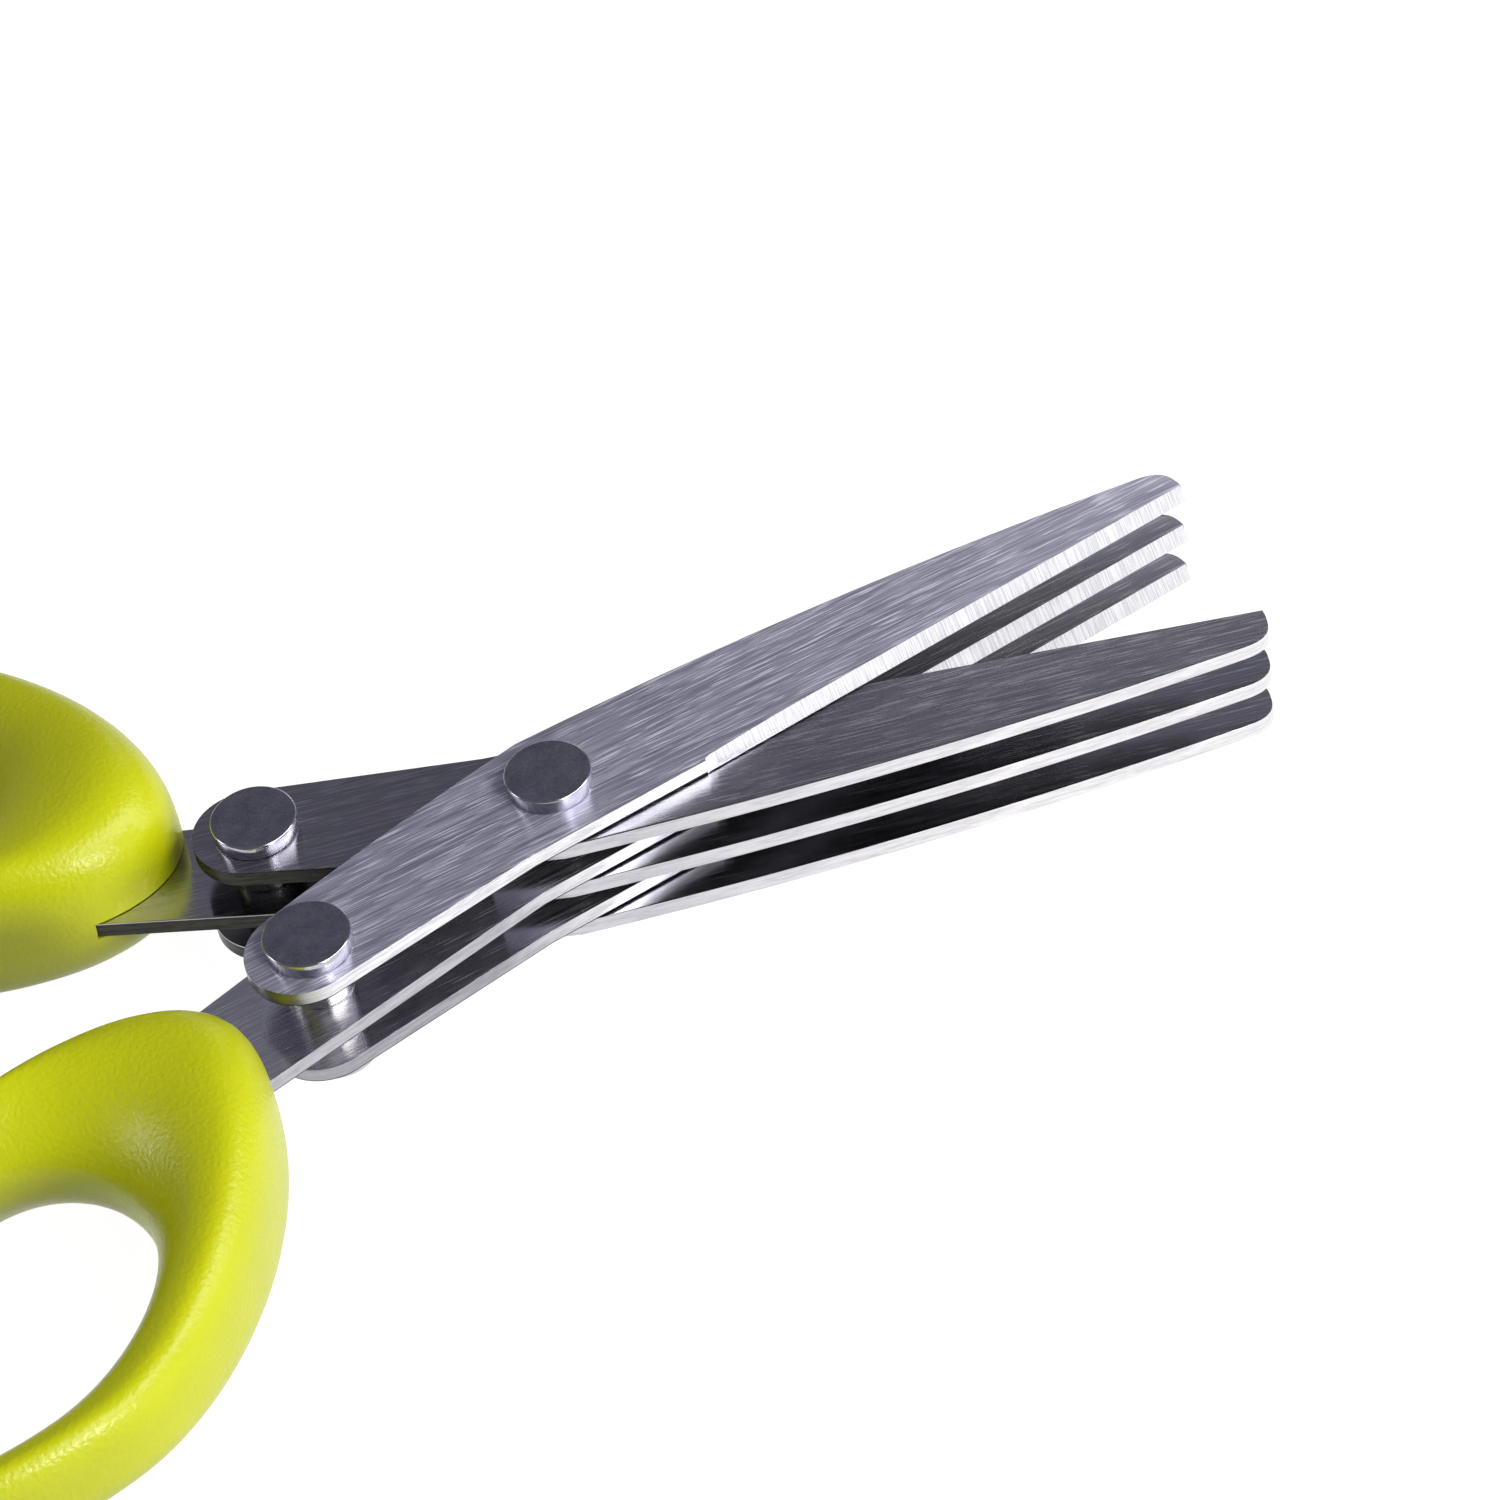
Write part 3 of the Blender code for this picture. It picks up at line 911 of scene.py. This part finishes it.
    def covers(self, place: Place) -> dict[Zone, Cover]:
        """Choose the finish of each zone of a blade.

        Side A shows its bevelled sides from above, and side B its flat ones.

        Args:
            place: Which of the three blades it is.

        Returns:
            What each zone wears.
        """
        chosen = {Zone.BEVEL: Cover.BEVEL, Zone.RUN_OUT: Cover.RUN_OUT}
        if self.half.side is Side.A:
            chosen[Zone.BEVELLED_SIDE] = Cover.SHOW_SIDE if place is Place.TOP else Cover.BEVELLED_SIDE
            chosen[Zone.FLAT_SIDE] = Cover.A_HIDDEN_SIDE
            chosen[Zone.FRONT_WALL] = chosen[Zone.REAR_WALL] = Cover[place.name + "_WALL"]
            # The corners under side A's flat sides are painted dark, as painted shadow of the gap below them.
            chosen[Zone.CORNER] = Cover.ROLLED_CORNER
            return chosen
        chosen[Zone.BEVELLED_SIDE] = Cover.BEVELLED_SIDE if place is Place.BOTTOM else Cover.B_HIDDEN_SIDE
        chosen[Zone.FLAT_SIDE] = Cover.FLAT_SIDE if place is Place.TOP else Cover.INNER_FLAT_SIDE
        # Side B's rear walls, and its top blade's corners, wear painted shade.
        chosen[Zone.FRONT_WALL] = Cover.B_WALL
        chosen[Zone.REAR_WALL] = Cover.B_REAR_WALL
        chosen[Zone.CORNER] = Cover.B_REAR_WALL if place is Place.TOP else Cover.B_WALL
        return chosen

    def dress(self, piece: Piece, finishes: dict[Zone, Material]) -> None:
        """Give each face its finish, and lay the brushing's direction on as a UV map.

        Args:
            piece: The blade, still in the half's own directions.
            finishes: The finish of each zone.
        """
        mesh = piece.data
        for zone in Zone:
            mesh.materials.append(finishes[zone])
        for face in mesh.polygons:
            face.material_index = self.zone(face).value
        layer = mesh.uv_layers.new(name="brushing")
        across = Vector((-math.sin(BRUSH_TURN), math.cos(BRUSH_TURN)))
        along = Vector((math.cos(BRUSH_TURN), math.sin(BRUSH_TURN)))
        for loop in mesh.loops:
            spot = mesh.vertices[loop.vertex_index].co.to_2d()
            layer.data[loop.index].uv = (spot.dot(across), spot.dot(along))
        mesh.shade_smooth()
        mesh.set_sharp_from_angle(angle=SMOOTH_LIMIT)
        even_flats(piece)

    def build(self, made: dict[Cover, Material]) -> None:
        """Build, dress and seat the three blades.

        Args:
            made: The finishes by what they cover.
        """
        letter = self.half.side.value
        for place in Place:
            node = f"{letter}_blade_{place.value}"
            piece = self.blank(f"{letter}_{place.value}_ground_blade", place)
            tools = [self.bore(self.pivot_bore, 0.0), self.bore(self.rear_bore, self.rivet_reach)]
            if place is Place.MIDDLE:
                tools.append(self.bore(self.anchor_radius, self.tang_reach - self.anchor_from_end))
            cut(piece, tools)
            self.dress(piece, {zone: made[cover] for zone, cover in self.covers(place).items()})
            piece.location.z = self.half.middle(node)
            bpy.context.view_layer.update()
            self.half.seat(piece, node, "blade_steel")


@dataclass
class Handle:
    """One moulded finger loop: a full round rim that slopes down to a thin lip at the finger hole.

    Its extremes are given in the order front, outer, rear and inner. The front differs between the sides.
    """

    half: Half
    blades: Blades
    front_reaches: Point = (39.3 * MM, 37.9 * MM)
    front_sides: Point = (-2.88 * MM, -4.41 * MM)
    loop_reaches: Point3 = (73.06 * MM, 108.0 * MM, 57.76 * MM)
    loop_sides: Point3 = (-32.0 * MM, -9.5 * MM, 7.49 * MM)
    finger_reaches: tuple[float, ...] = (57.99 * MM, 78.29 * MM, 98.5 * MM, 74.82 * MM)
    finger_sides: tuple[float, ...] = (-10.23 * MM, -25.72 * MM, -12.0 * MM, 3.54 * MM)
    half_heights: tuple[float, ...] = (10.0 * MM, 5.7 * MM, 5.2 * MM, 8.8 * MM)
    loop_shares: tuple[Point, ...] = ((0.35, 0.43), (0.56, 0.56), (0.56, 0.56), (0.60, 0.57))
    finger_shares: tuple[Point, ...] = ((0.54, 0.55), (0.56, 0.56), (0.56, 0.56), (0.60, 0.58))
    lip_share: float = 0.46
    fullness_share: float = 0.72
    gap: float = 0.12 * MM
    quarter_steps: int = 40
    section_steps: int = 56

    def closed_curve(
        self, reaches: tuple[float, ...], sides: tuple[float, ...], shares: tuple[Point, ...]
    ) -> list[Point]:
        """Draw a loop through its front, outer, rear and inner extremes.

        Args:
            reaches: How far behind the pivot each extreme lies.
            sides: How far to the spine's side each extreme lies.
            shares: How much of each quarter its two handles take.

        Returns:
            The loop's points.
        """
        corners = [(-reach, side) for reach, side in zip(reaches, sides)]
        points = []
        for quarter, (start_share, end_share) in enumerate(shares):
            start = corners[quarter]
            end = corners[(quarter + 1) % len(corners)]
            run = end[0] - start[0]
            rise = end[1] - start[1]
            if quarter % 2:
                first = (start[0] + start_share * run, start[1])
                second = (end[0], end[1] - end_share * rise)
            else:
                first = (start[0], start[1] + start_share * rise)
                second = (end[0] - end_share * run, end[1])
            points += bezier(start, first, second, end, self.quarter_steps)
        return points

    def heights(self) -> list[float]:
        """Ease from one extreme's half height to the next.

        Returns:
            The half height at each station round the loop.
        """
        values = []
        for quarter, start in enumerate(self.half_heights):
            end = self.half_heights[(quarter + 1) % len(self.half_heights)]
            for step in range(self.quarter_steps):
                eased = (1 - math.cos(math.pi * step / self.quarter_steps)) / 2
                values.append(start + eased * (end - start))
        return values

    def full_round(self, turn: float) -> Point:
        """Fill out a circle, so that a section is fuller than an ellipse.

        Args:
            turn: The angle round the section, in radians.

        Returns:
            What stands for the cosine and the sine of that angle.
        """
        cosine = math.cos(turn)
        sine = math.sin(turn)
        power = 2 / self.fullness_share
        reach = (abs(cosine) ** power + abs(sine) ** power) ** (1 / power)
        return cosine / reach, sine / reach

    def section(self, outer: Point, inner: Point, half_height: float) -> list[Point3]:
        """Draw one section, full at the rim and thin at the finger hole's lip.

        Args:
            outer: Its point on the rim.
            inner: Its point on the lip.
            half_height: Its half height.

        Returns:
            Its points.
        """
        points = []
        for step in range(self.section_steps):
            cosine, sine = self.full_round(math.tau * step / self.section_steps)
            across = (1 - cosine) / 2
            height = half_height * sine * (1 - self.lip_share * across * across)
            x = outer[0] + across * (inner[0] - outer[0])
            y = outer[1] + across * (inner[1] - outer[1])
            points.append((x, y, height))
        return points

    def loop_mesh(self, name: str) -> bpy.types.Mesh:
        """Loft the sections round the finger hole.

        Args:
            name: The mesh's name.

        Returns:
            The closed mesh.
        """
        which = 0 if self.half.side is Side.A else 1
        reaches = (self.front_reaches[which], *self.loop_reaches)
        sides = (self.front_sides[which], *self.loop_sides)
        rim = self.closed_curve(reaches, sides, self.loop_shares)
        hole = self.closed_curve(self.finger_reaches, self.finger_sides, self.finger_shares)
        shape = bmesh.new()
        rings = []
        for outer, inner, half_height in zip(rim, hole, self.heights()):
            section = self.section(outer, inner, half_height)
            rings.append([shape.verts.new(point) for point in section])
        for here, ring in enumerate(rings):
            beyond = rings[(here + 1) % len(rings)]
            for step in range(self.section_steps):
                after = (step + 1) % self.section_steps
                shape.faces.new((ring[step], beyond[step], beyond[after], ring[after]))
        return mesh_from(name, shape)

    def pocket(self, level: float) -> Piece:
        """Make a helper of the space that the tang takes, with the plug through its anchor hole left out.

        Args:
            level: The height of the tang's middle above the handle's.

        Returns:
            The helper.
        """
        blades = self.blades
        rear = -blades.tang_reach - self.gap
        outline = [
            (-blades.rivet_reach, blades.tang_edge - self.gap),
            (rear, blades.tang_edge - self.gap),
            (rear, blades.tang_spine_at_end + self.gap),
            (-blades.rivet_reach, blades.tang_spine_at_rivet + self.gap),
        ]
        lift = blades.thickness / 2 + self.gap
        shape = bmesh.new()
        floor = [shape.verts.new((x, y, level - lift)) for x, y in outline]
        roof = [shape.verts.new((x, y, level + lift)) for x, y in outline]
        shape.faces.new(floor)
        shape.faces.new(roof)
        for here in range(len(outline)):
            after = (here + 1) % len(outline)
            shape.faces.new((floor[here], roof[here], roof[after], floor[after]))
        tool = add_piece("pocket", mesh_from("pocket", shape))
        plug = blades.bore(blades.anchor_radius - self.gap, blades.tang_reach - blades.anchor_from_end)
        plug.location.z = level
        cut(tool, [plug])
        return tool

    def build(self, plastic: Material) -> None:
        """Build, dress and seat the handle.

        Args:
            plastic: Its finish.
        """
        letter = self.half.side.value
        node = letter + "_handle"
        name = letter + "_moulded_handle"
        piece = add_piece(name, self.loop_mesh(name))
        piece.data.materials.append(plastic)
        middle = self.half.middle(node)
        tang_level = self.half.middle(letter + "_blade_middle") - middle
        cut(piece, [self.pocket(tang_level)])
        piece.data.shade_smooth()
        piece.data.set_sharp_from_angle(angle=SMOOTH_LIMIT)
        piece.data.transform(self.half.matrix @ Matrix.Translation((0, 0, middle)))
        self.half.seat(piece, node, "handle_plastic", True)


@dataclass
class Fasteners:
    """The three rivets with flat heads, and the collars that hold the blades apart."""

    a_half: Half
    b_half: Half
    made: dict[Cover, Material]
    rivet_reach: float = 29.3 * MM
    head_radius: float = 4.3 * MM
    head_height: float = 1.72 * MM
    round_off: float = 0.2 * MM
    round_steps: int = 3
    pivot_shank: float = 2.2 * MM
    rear_shank: float = 2.0 * MM
    spacer_radius: float = 3.4 * MM
    spacer_chamfer: float = 0.15 * MM
    clearance: float = 0.1 * MM
    steps: int = 96
    flat_normal: float = 0.98

    def head(self, face: float, down: int) -> list[Point]:
        """Draw a flat head.

        Args:
            face: The height of its outer face.
            down: 1 where it hangs down from that face, and -1 where it stands up from it.

        Returns:
            Its profile from the outer face to the seat.
        """
        edge = self.round_off
        rim = self.head_radius - edge
        turns = [math.pi / 2 * step / self.round_steps for step in range(self.round_steps + 1)]
        upper = [(rim + edge * math.sin(turn), edge - edge * math.cos(turn)) for turn in turns]
        points = [(0, 0), *upper, *((radius, self.head_height - depth) for radius, depth in upper[::-1])]
        return [(radius, face - down * depth) for radius, depth in points]

    def rivet(self, name: str, node: str, half: Half, shank: float, reach: float) -> None:
        """Build, dress and seat one rivet, with its flat faces and its round sides finished apart.

        Args:
            name: The piece's name.
            node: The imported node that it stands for.
            half: The half that holds it.
            shank: Its shank's radius.
            reach: How far it lies behind the pivot.
        """
        low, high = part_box(node)
        tall = high.z - low.z
        seat = tall / 2 - self.head_height
        profile = self.head(tall / 2, 1) + [(shank, seat), (shank, -seat)] + self.head(-tall / 2, -1)[::-1]
        piece = add_piece(name, lathe(name, profile, self.steps))
        for cover in (Cover.RIVET_FACE, Cover.RIVET_WALL):
            piece.data.materials.append(self.made[cover])
        for face in piece.data.polygons:
            face.material_index = 0 if abs(face.normal.z) > self.flat_normal else 1
        even_flats(piece)
        piece.location = (-reach, 0, half.middle(node))
        bpy.context.view_layer.update()
        half.seat(piece, node, "rivet_steel")

    def collar(self, name: str, node: str, half: Half, shank: float, reach: float) -> None:
        """Build, dress and seat one spacer.

        Args:
            name: The piece's name.
            node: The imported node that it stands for.
            half: The half that holds it.
            shank: The radius of the shank through it.
            reach: How far it lies behind the pivot.
        """
        low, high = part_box(node)
        top = (high.z - low.z) / 2
        side = top - self.spacer_chamfer
        rim = self.spacer_radius - self.spacer_chamfer
        bore = shank + self.clearance
        rounded = [(rim, top), (self.spacer_radius, side), (self.spacer_radius, -side), (rim, -top)]
        piece = add_piece(name, lathe(name, [(bore, top), *rounded, (bore, -top)], self.steps))
        piece.data.materials.append(self.made[Cover.A_COLLAR if half.side is Side.A else Cover.B_COLLAR])
        piece.location = (-reach, 0, half.middle(node))
        bpy.context.view_layer.update()
        half.seat(piece, node, "spacer_steel")

    def build(self) -> None:
        """Build every rivet and spacer."""
        self.rivet("pivot_pin", "pivot_rivet", self.a_half, self.pivot_shank, 0.0)
        for half in (self.a_half, self.b_half):
            rear = half.side.value + "_rear_"
            self.rivet(rear + "pin", rear + "rivet", half, self.rear_shank, self.rivet_reach)
            for level in ("upper", "lower"):
                names = (rear + "collar_" + level, rear + "spacer_" + level)
                self.collar(*names, half, self.rear_shank, self.rivet_reach)
        for level in ("upper", "lower"):
            self.collar("pivot_collar_" + level, "pivot_spacer_" + level, self.a_half, self.pivot_shank, 0.0)


@dataclass(frozen=True)
class Softbox:
    """One soft light that faces the scissors.

    Its direction is in degrees from the X axis and above the floor, and its distance from the pivot and its
    size are in metres. Its radiance is 1 where it is as bright as white paper lit to a clean white.
    """

    name: str
    direction: float
    height: float
    distance: float
    size: Point
    radiance: float

    def hang(self) -> None:
        """Add the light to the scene."""
        around, above = math.radians(self.direction), math.radians(self.height)
        level = math.cos(above)
        toward = Vector((math.cos(around) * level, math.sin(around) * level, math.sin(above)))
        lamp = bpy.data.lights.new(self.name, "AREA")
        lamp.shape = "RECTANGLE"
        lamp.size, lamp.size_y = self.size
        lamp.energy = math.pi * self.size[0] * self.size[1] * self.radiance
        holder = bpy.data.objects.new(self.name, lamp)
        bpy.context.scene.collection.objects.link(holder)
        holder.location = toward * self.distance
        holder.rotation_euler = toward.to_track_quat("Z", "Y").to_euler()


@dataclass
class Studio:
    """The pale floor, the soft lights and the camera."""

    focal_px: float = 4548.452
    frame_px: float = 1500.0
    sensor_mm: float = 36.0
    azimuth: float = math.radians(-14.089)
    elevation: float = math.radians(44.543)
    roll: float = math.radians(-9.825)
    target: Point = (18.645 * MM, -6.705 * MM)
    distance: float = 439.085 * MM
    nearest: float = 10 * MM
    floor_reach: float = 3.0
    floor_colour: str = "#808080"
    floor_roughness: float = 0.9
    glow_colour: str = "#FFFFFF"
    floor_glow: float = 0.96
    world_colour: str = "#E2E2F6"
    world_strength: float = 0.2
    softboxes: tuple[Softbox, ...] = (
        Softbox("right_key", -40, 44, 0.8, (1.02, 0.34), 5.5),
        Softbox("front_low", -72, 13, 0.7, (0.14, 0.14), 36.0),
        Softbox("right_low", -46, 5, 0.8, (0.4, 0.12), 1.2),
        Softbox("far_right", -14, 15, 0.8, (0.3, 0.3), 4.0),
        Softbox("back_left_fill", 160, 29, 0.9, (0.26, 0.26), 6.0),
        Softbox("back_right_low", 64, 22, 0.45, (0.1, 0.1), 1.6),
    )

    def camera(self) -> None:
        """Set the camera at the photograph's angle, aimed at the height of the pivot rivet's top."""
        sine, cosine = math.sin(self.azimuth), math.cos(self.azimuth)
        level = math.cos(self.elevation)
        back = Vector((sine * level, -cosine * level, math.sin(self.elevation)))
        right = Vector((cosine, sine, 0))
        up = back.cross(right)
        rolled_right = math.cos(self.roll) * right + math.sin(self.roll) * up
        rolled_up = math.cos(self.roll) * up - math.sin(self.roll) * right
        place = Matrix((rolled_right, rolled_up, back)).transposed().to_4x4()
        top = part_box("pivot_rivet")[1].z
        place.translation = Vector((*self.target, top)) + back * self.distance
        lens = bpy.data.cameras.new("camera")
        lens.sensor_width = self.sensor_mm
        lens.lens = self.focal_px * self.sensor_mm / self.frame_px
        lens.clip_start = self.nearest
        camera = bpy.data.objects.new("camera", lens)
        bpy.context.scene.collection.objects.link(camera)
        camera.matrix_world = place
        bpy.context.scene.camera = camera

    def floor(self) -> None:
        """Lay the pale floor under the lowest point.

        It glows, so that it looks as white as the photographed paper and shines in the steel. It is hidden
        from matt surfaces, or its glow would light the undersides of the handles.
        """
        reach = self.floor_reach
        level = CAD_BOUNDS[0][2]
        corners = ((-reach, -reach), (reach, -reach), (reach, reach), (-reach, reach))
        shape = bmesh.new()
        shape.faces.new([shape.verts.new((x, y, level)) for x, y in corners])
        sheet = add_piece("floor", mesh_from("floor", shape))
        made, tree, shader = new_material("pale_paper_floor")
        shader.inputs["Base Color"].default_value = linear(self.floor_colour)
        shader.inputs["Roughness"].default_value = self.floor_roughness
        shader.inputs["Specular IOR Level"].default_value = 0.0
        shader.inputs["Emission Color"].default_value = linear(self.glow_colour)
        shader.inputs["Emission Strength"].default_value = self.floor_glow
        sheet.data.materials.append(made)
        sheet.visible_diffuse = False

    def world(self) -> None:
        """Fill the room with a dim even light."""
        world = bpy.data.worlds.new("studio")
        world.use_nodes = True
        sky = world.node_tree.nodes["Background"]
        sky.inputs["Color"].default_value = linear(self.world_colour)
        sky.inputs["Strength"].default_value = self.world_strength
        bpy.context.scene.world = world

    def build(self) -> None:
        """Set up the whole studio."""
        self.camera()
        self.floor()
        self.world()
        for softbox in self.softboxes:
            softbox.hang()
        bpy.context.scene.view_settings.view_transform = "Standard"


def finishes() -> dict[Cover, Material]:
    """Make every finish of the scissors.

    Returns:
        The materials by what they cover.
    """
    # The top face got the coarsest belt. The faces below it are finer, so they mirror what lies round them.
    brushed = {
        Cover.SHOW_SIDE: BrushedSteel("belt_brushed_stainless", "#DAD9E9", "#ADACBD", 0.4, "#F2F2FF", 0.75),
        Cover.BEVELLED_SIDE: BrushedSteel(
            "fine_brushed_stainless", "#E6E5EC", "#CDCCD4", 0.2, "#F0F0F5", 0.8
        ),
        Cover.FLAT_SIDE: BrushedSteel("ground_stainless", "#B6B5BD", "#9F9EA6", 0.24, "#CACAD1", 0.9),
        Cover.INNER_FLAT_SIDE: BrushedSteel(
            "fine_ground_stainless", "#C4C3CC", "#B2B1BA", 0.16, "#CCCCD3", 0.86
        ),
        # Side A's undersides carry painted shade ahead of the pivot, so that the blades below mirror them
        # dark there.
        Cover.A_HIDDEN_SIDE: BrushedSteel(
            "coarse_ground_stainless",
            "#BFBED0",
            "#ABAABA",
            0.25,
            "#D2D1E0",
            0.8,
            PaintedShade("#646360", -2 * MM, 9 * MM),
        ),
        # Side B's undersides between its blades are painted dark, as painted shade for the shade they lie in.
        Cover.B_HIDDEN_SIDE: BrushedSteel("painted_shade_underside_stainless", "#46454A", "#38373B", 0.2, "#626167", 0.8),
    }
    # The ground edges are the brightest steel. Where the wheel lifted off, they are duller and paler.
    ground = {
        Cover.BEVEL: GroundSteel("wheel_ground_stainless", "#E7E7E8", "#C7C7CD", 0.2),
        Cover.RUN_OUT: GroundSteel("run_out_stainless", "#F4F4F6", "#E0E0E4", 0.55),
    }
    # The sheared walls shine toward the tips and carry painted shade toward the rear, most on side B.
    sheared = {
        Cover.TOP_WALL: ShearedSteel(
            "bright_sheared_stainless", "#F1F1F3", "#C8C8CE", 0.3, PaintedShade("#9C9B95", -30.6 * MM, -34.2 * MM)
        ),
        Cover.MIDDLE_WALL: ShearedSteel(
            "painted_rear_shade_sheared_stainless", "#F1F1F3", "#C8C8CE", 0.3, PaintedShade("#CBCACE", -1 * MM, -12 * MM)
        ),
        Cover.BOTTOM_WALL: ShearedSteel(
            "grey_sheared_stainless", "#F1F1F3", "#C8C8CE", 0.3, PaintedShade("#B3B2B7", 2 * MM, -14 * MM)
        ),
        Cover.B_WALL: ShearedSteel(
            "even_sheared_stainless", "#E9E7E9", "#CBC9CD", 0.3, PaintedShade("#DEDEE2", 42 * MM, 6 * MM)
        ),
        Cover.B_REAR_WALL: ShearedSteel("painted_shade_sheared_stainless", "#403F3A", "#262521", 0.35),
        # Painted shadow: the corners under side A are dark as the gap beneath them.
        Cover.ROLLED_CORNER: ShearedSteel("painted_shadow_corner_steel", "#2E2E33", "#1E1E22", 0.45),
    }
    # The rivets' round sides were turned and are nearly smooth. Side B's collars are painted dark as painted
    # shade.
    tumbled = {
        Cover.RIVET_FACE: TumbledSteel("tumbled_rivet_steel", "#B4B3BE", "#9392A0", 0.26),
        Cover.RIVET_WALL: TumbledSteel("turned_rivet_steel", "#C4C3CA", "#AFAEB6", 0.16, 0.0002 * MM, 0.01),
        Cover.A_COLLAR: TumbledSteel("turned_collar_steel", "#C9C6C4", "#A5A29F", 0.16),
        Cover.B_COLLAR: TumbledSteel("painted_shade_collar_steel", "#6E6C6A", "#55534F", 0.3),
    }
    moulded = {Cover.HANDLE: MouldedPlastic("lime_polypropylene", "#C8CD08", "#BEC306", 0.33, 0.42)}
    chosen = {**brushed, **ground, **sheared, **tumbled, **moulded}
    return {cover: finish.build() for cover, finish in chosen.items()}


def main() -> None:
    """Build the studio and every piece of the scissors."""
    logging.basicConfig(level=logging.INFO, format="%(message)s")
    Studio().build()
    made = finishes()
    halves = (Half(Side.A), Half(Side.B))
    for half in halves:
        blades = Blades(half)
        blades.build(made)
        Handle(half, blades).build(made[Cover.HANDLE])
    Fasteners(*halves, made).build()


if __name__ == "__main__":
    main()
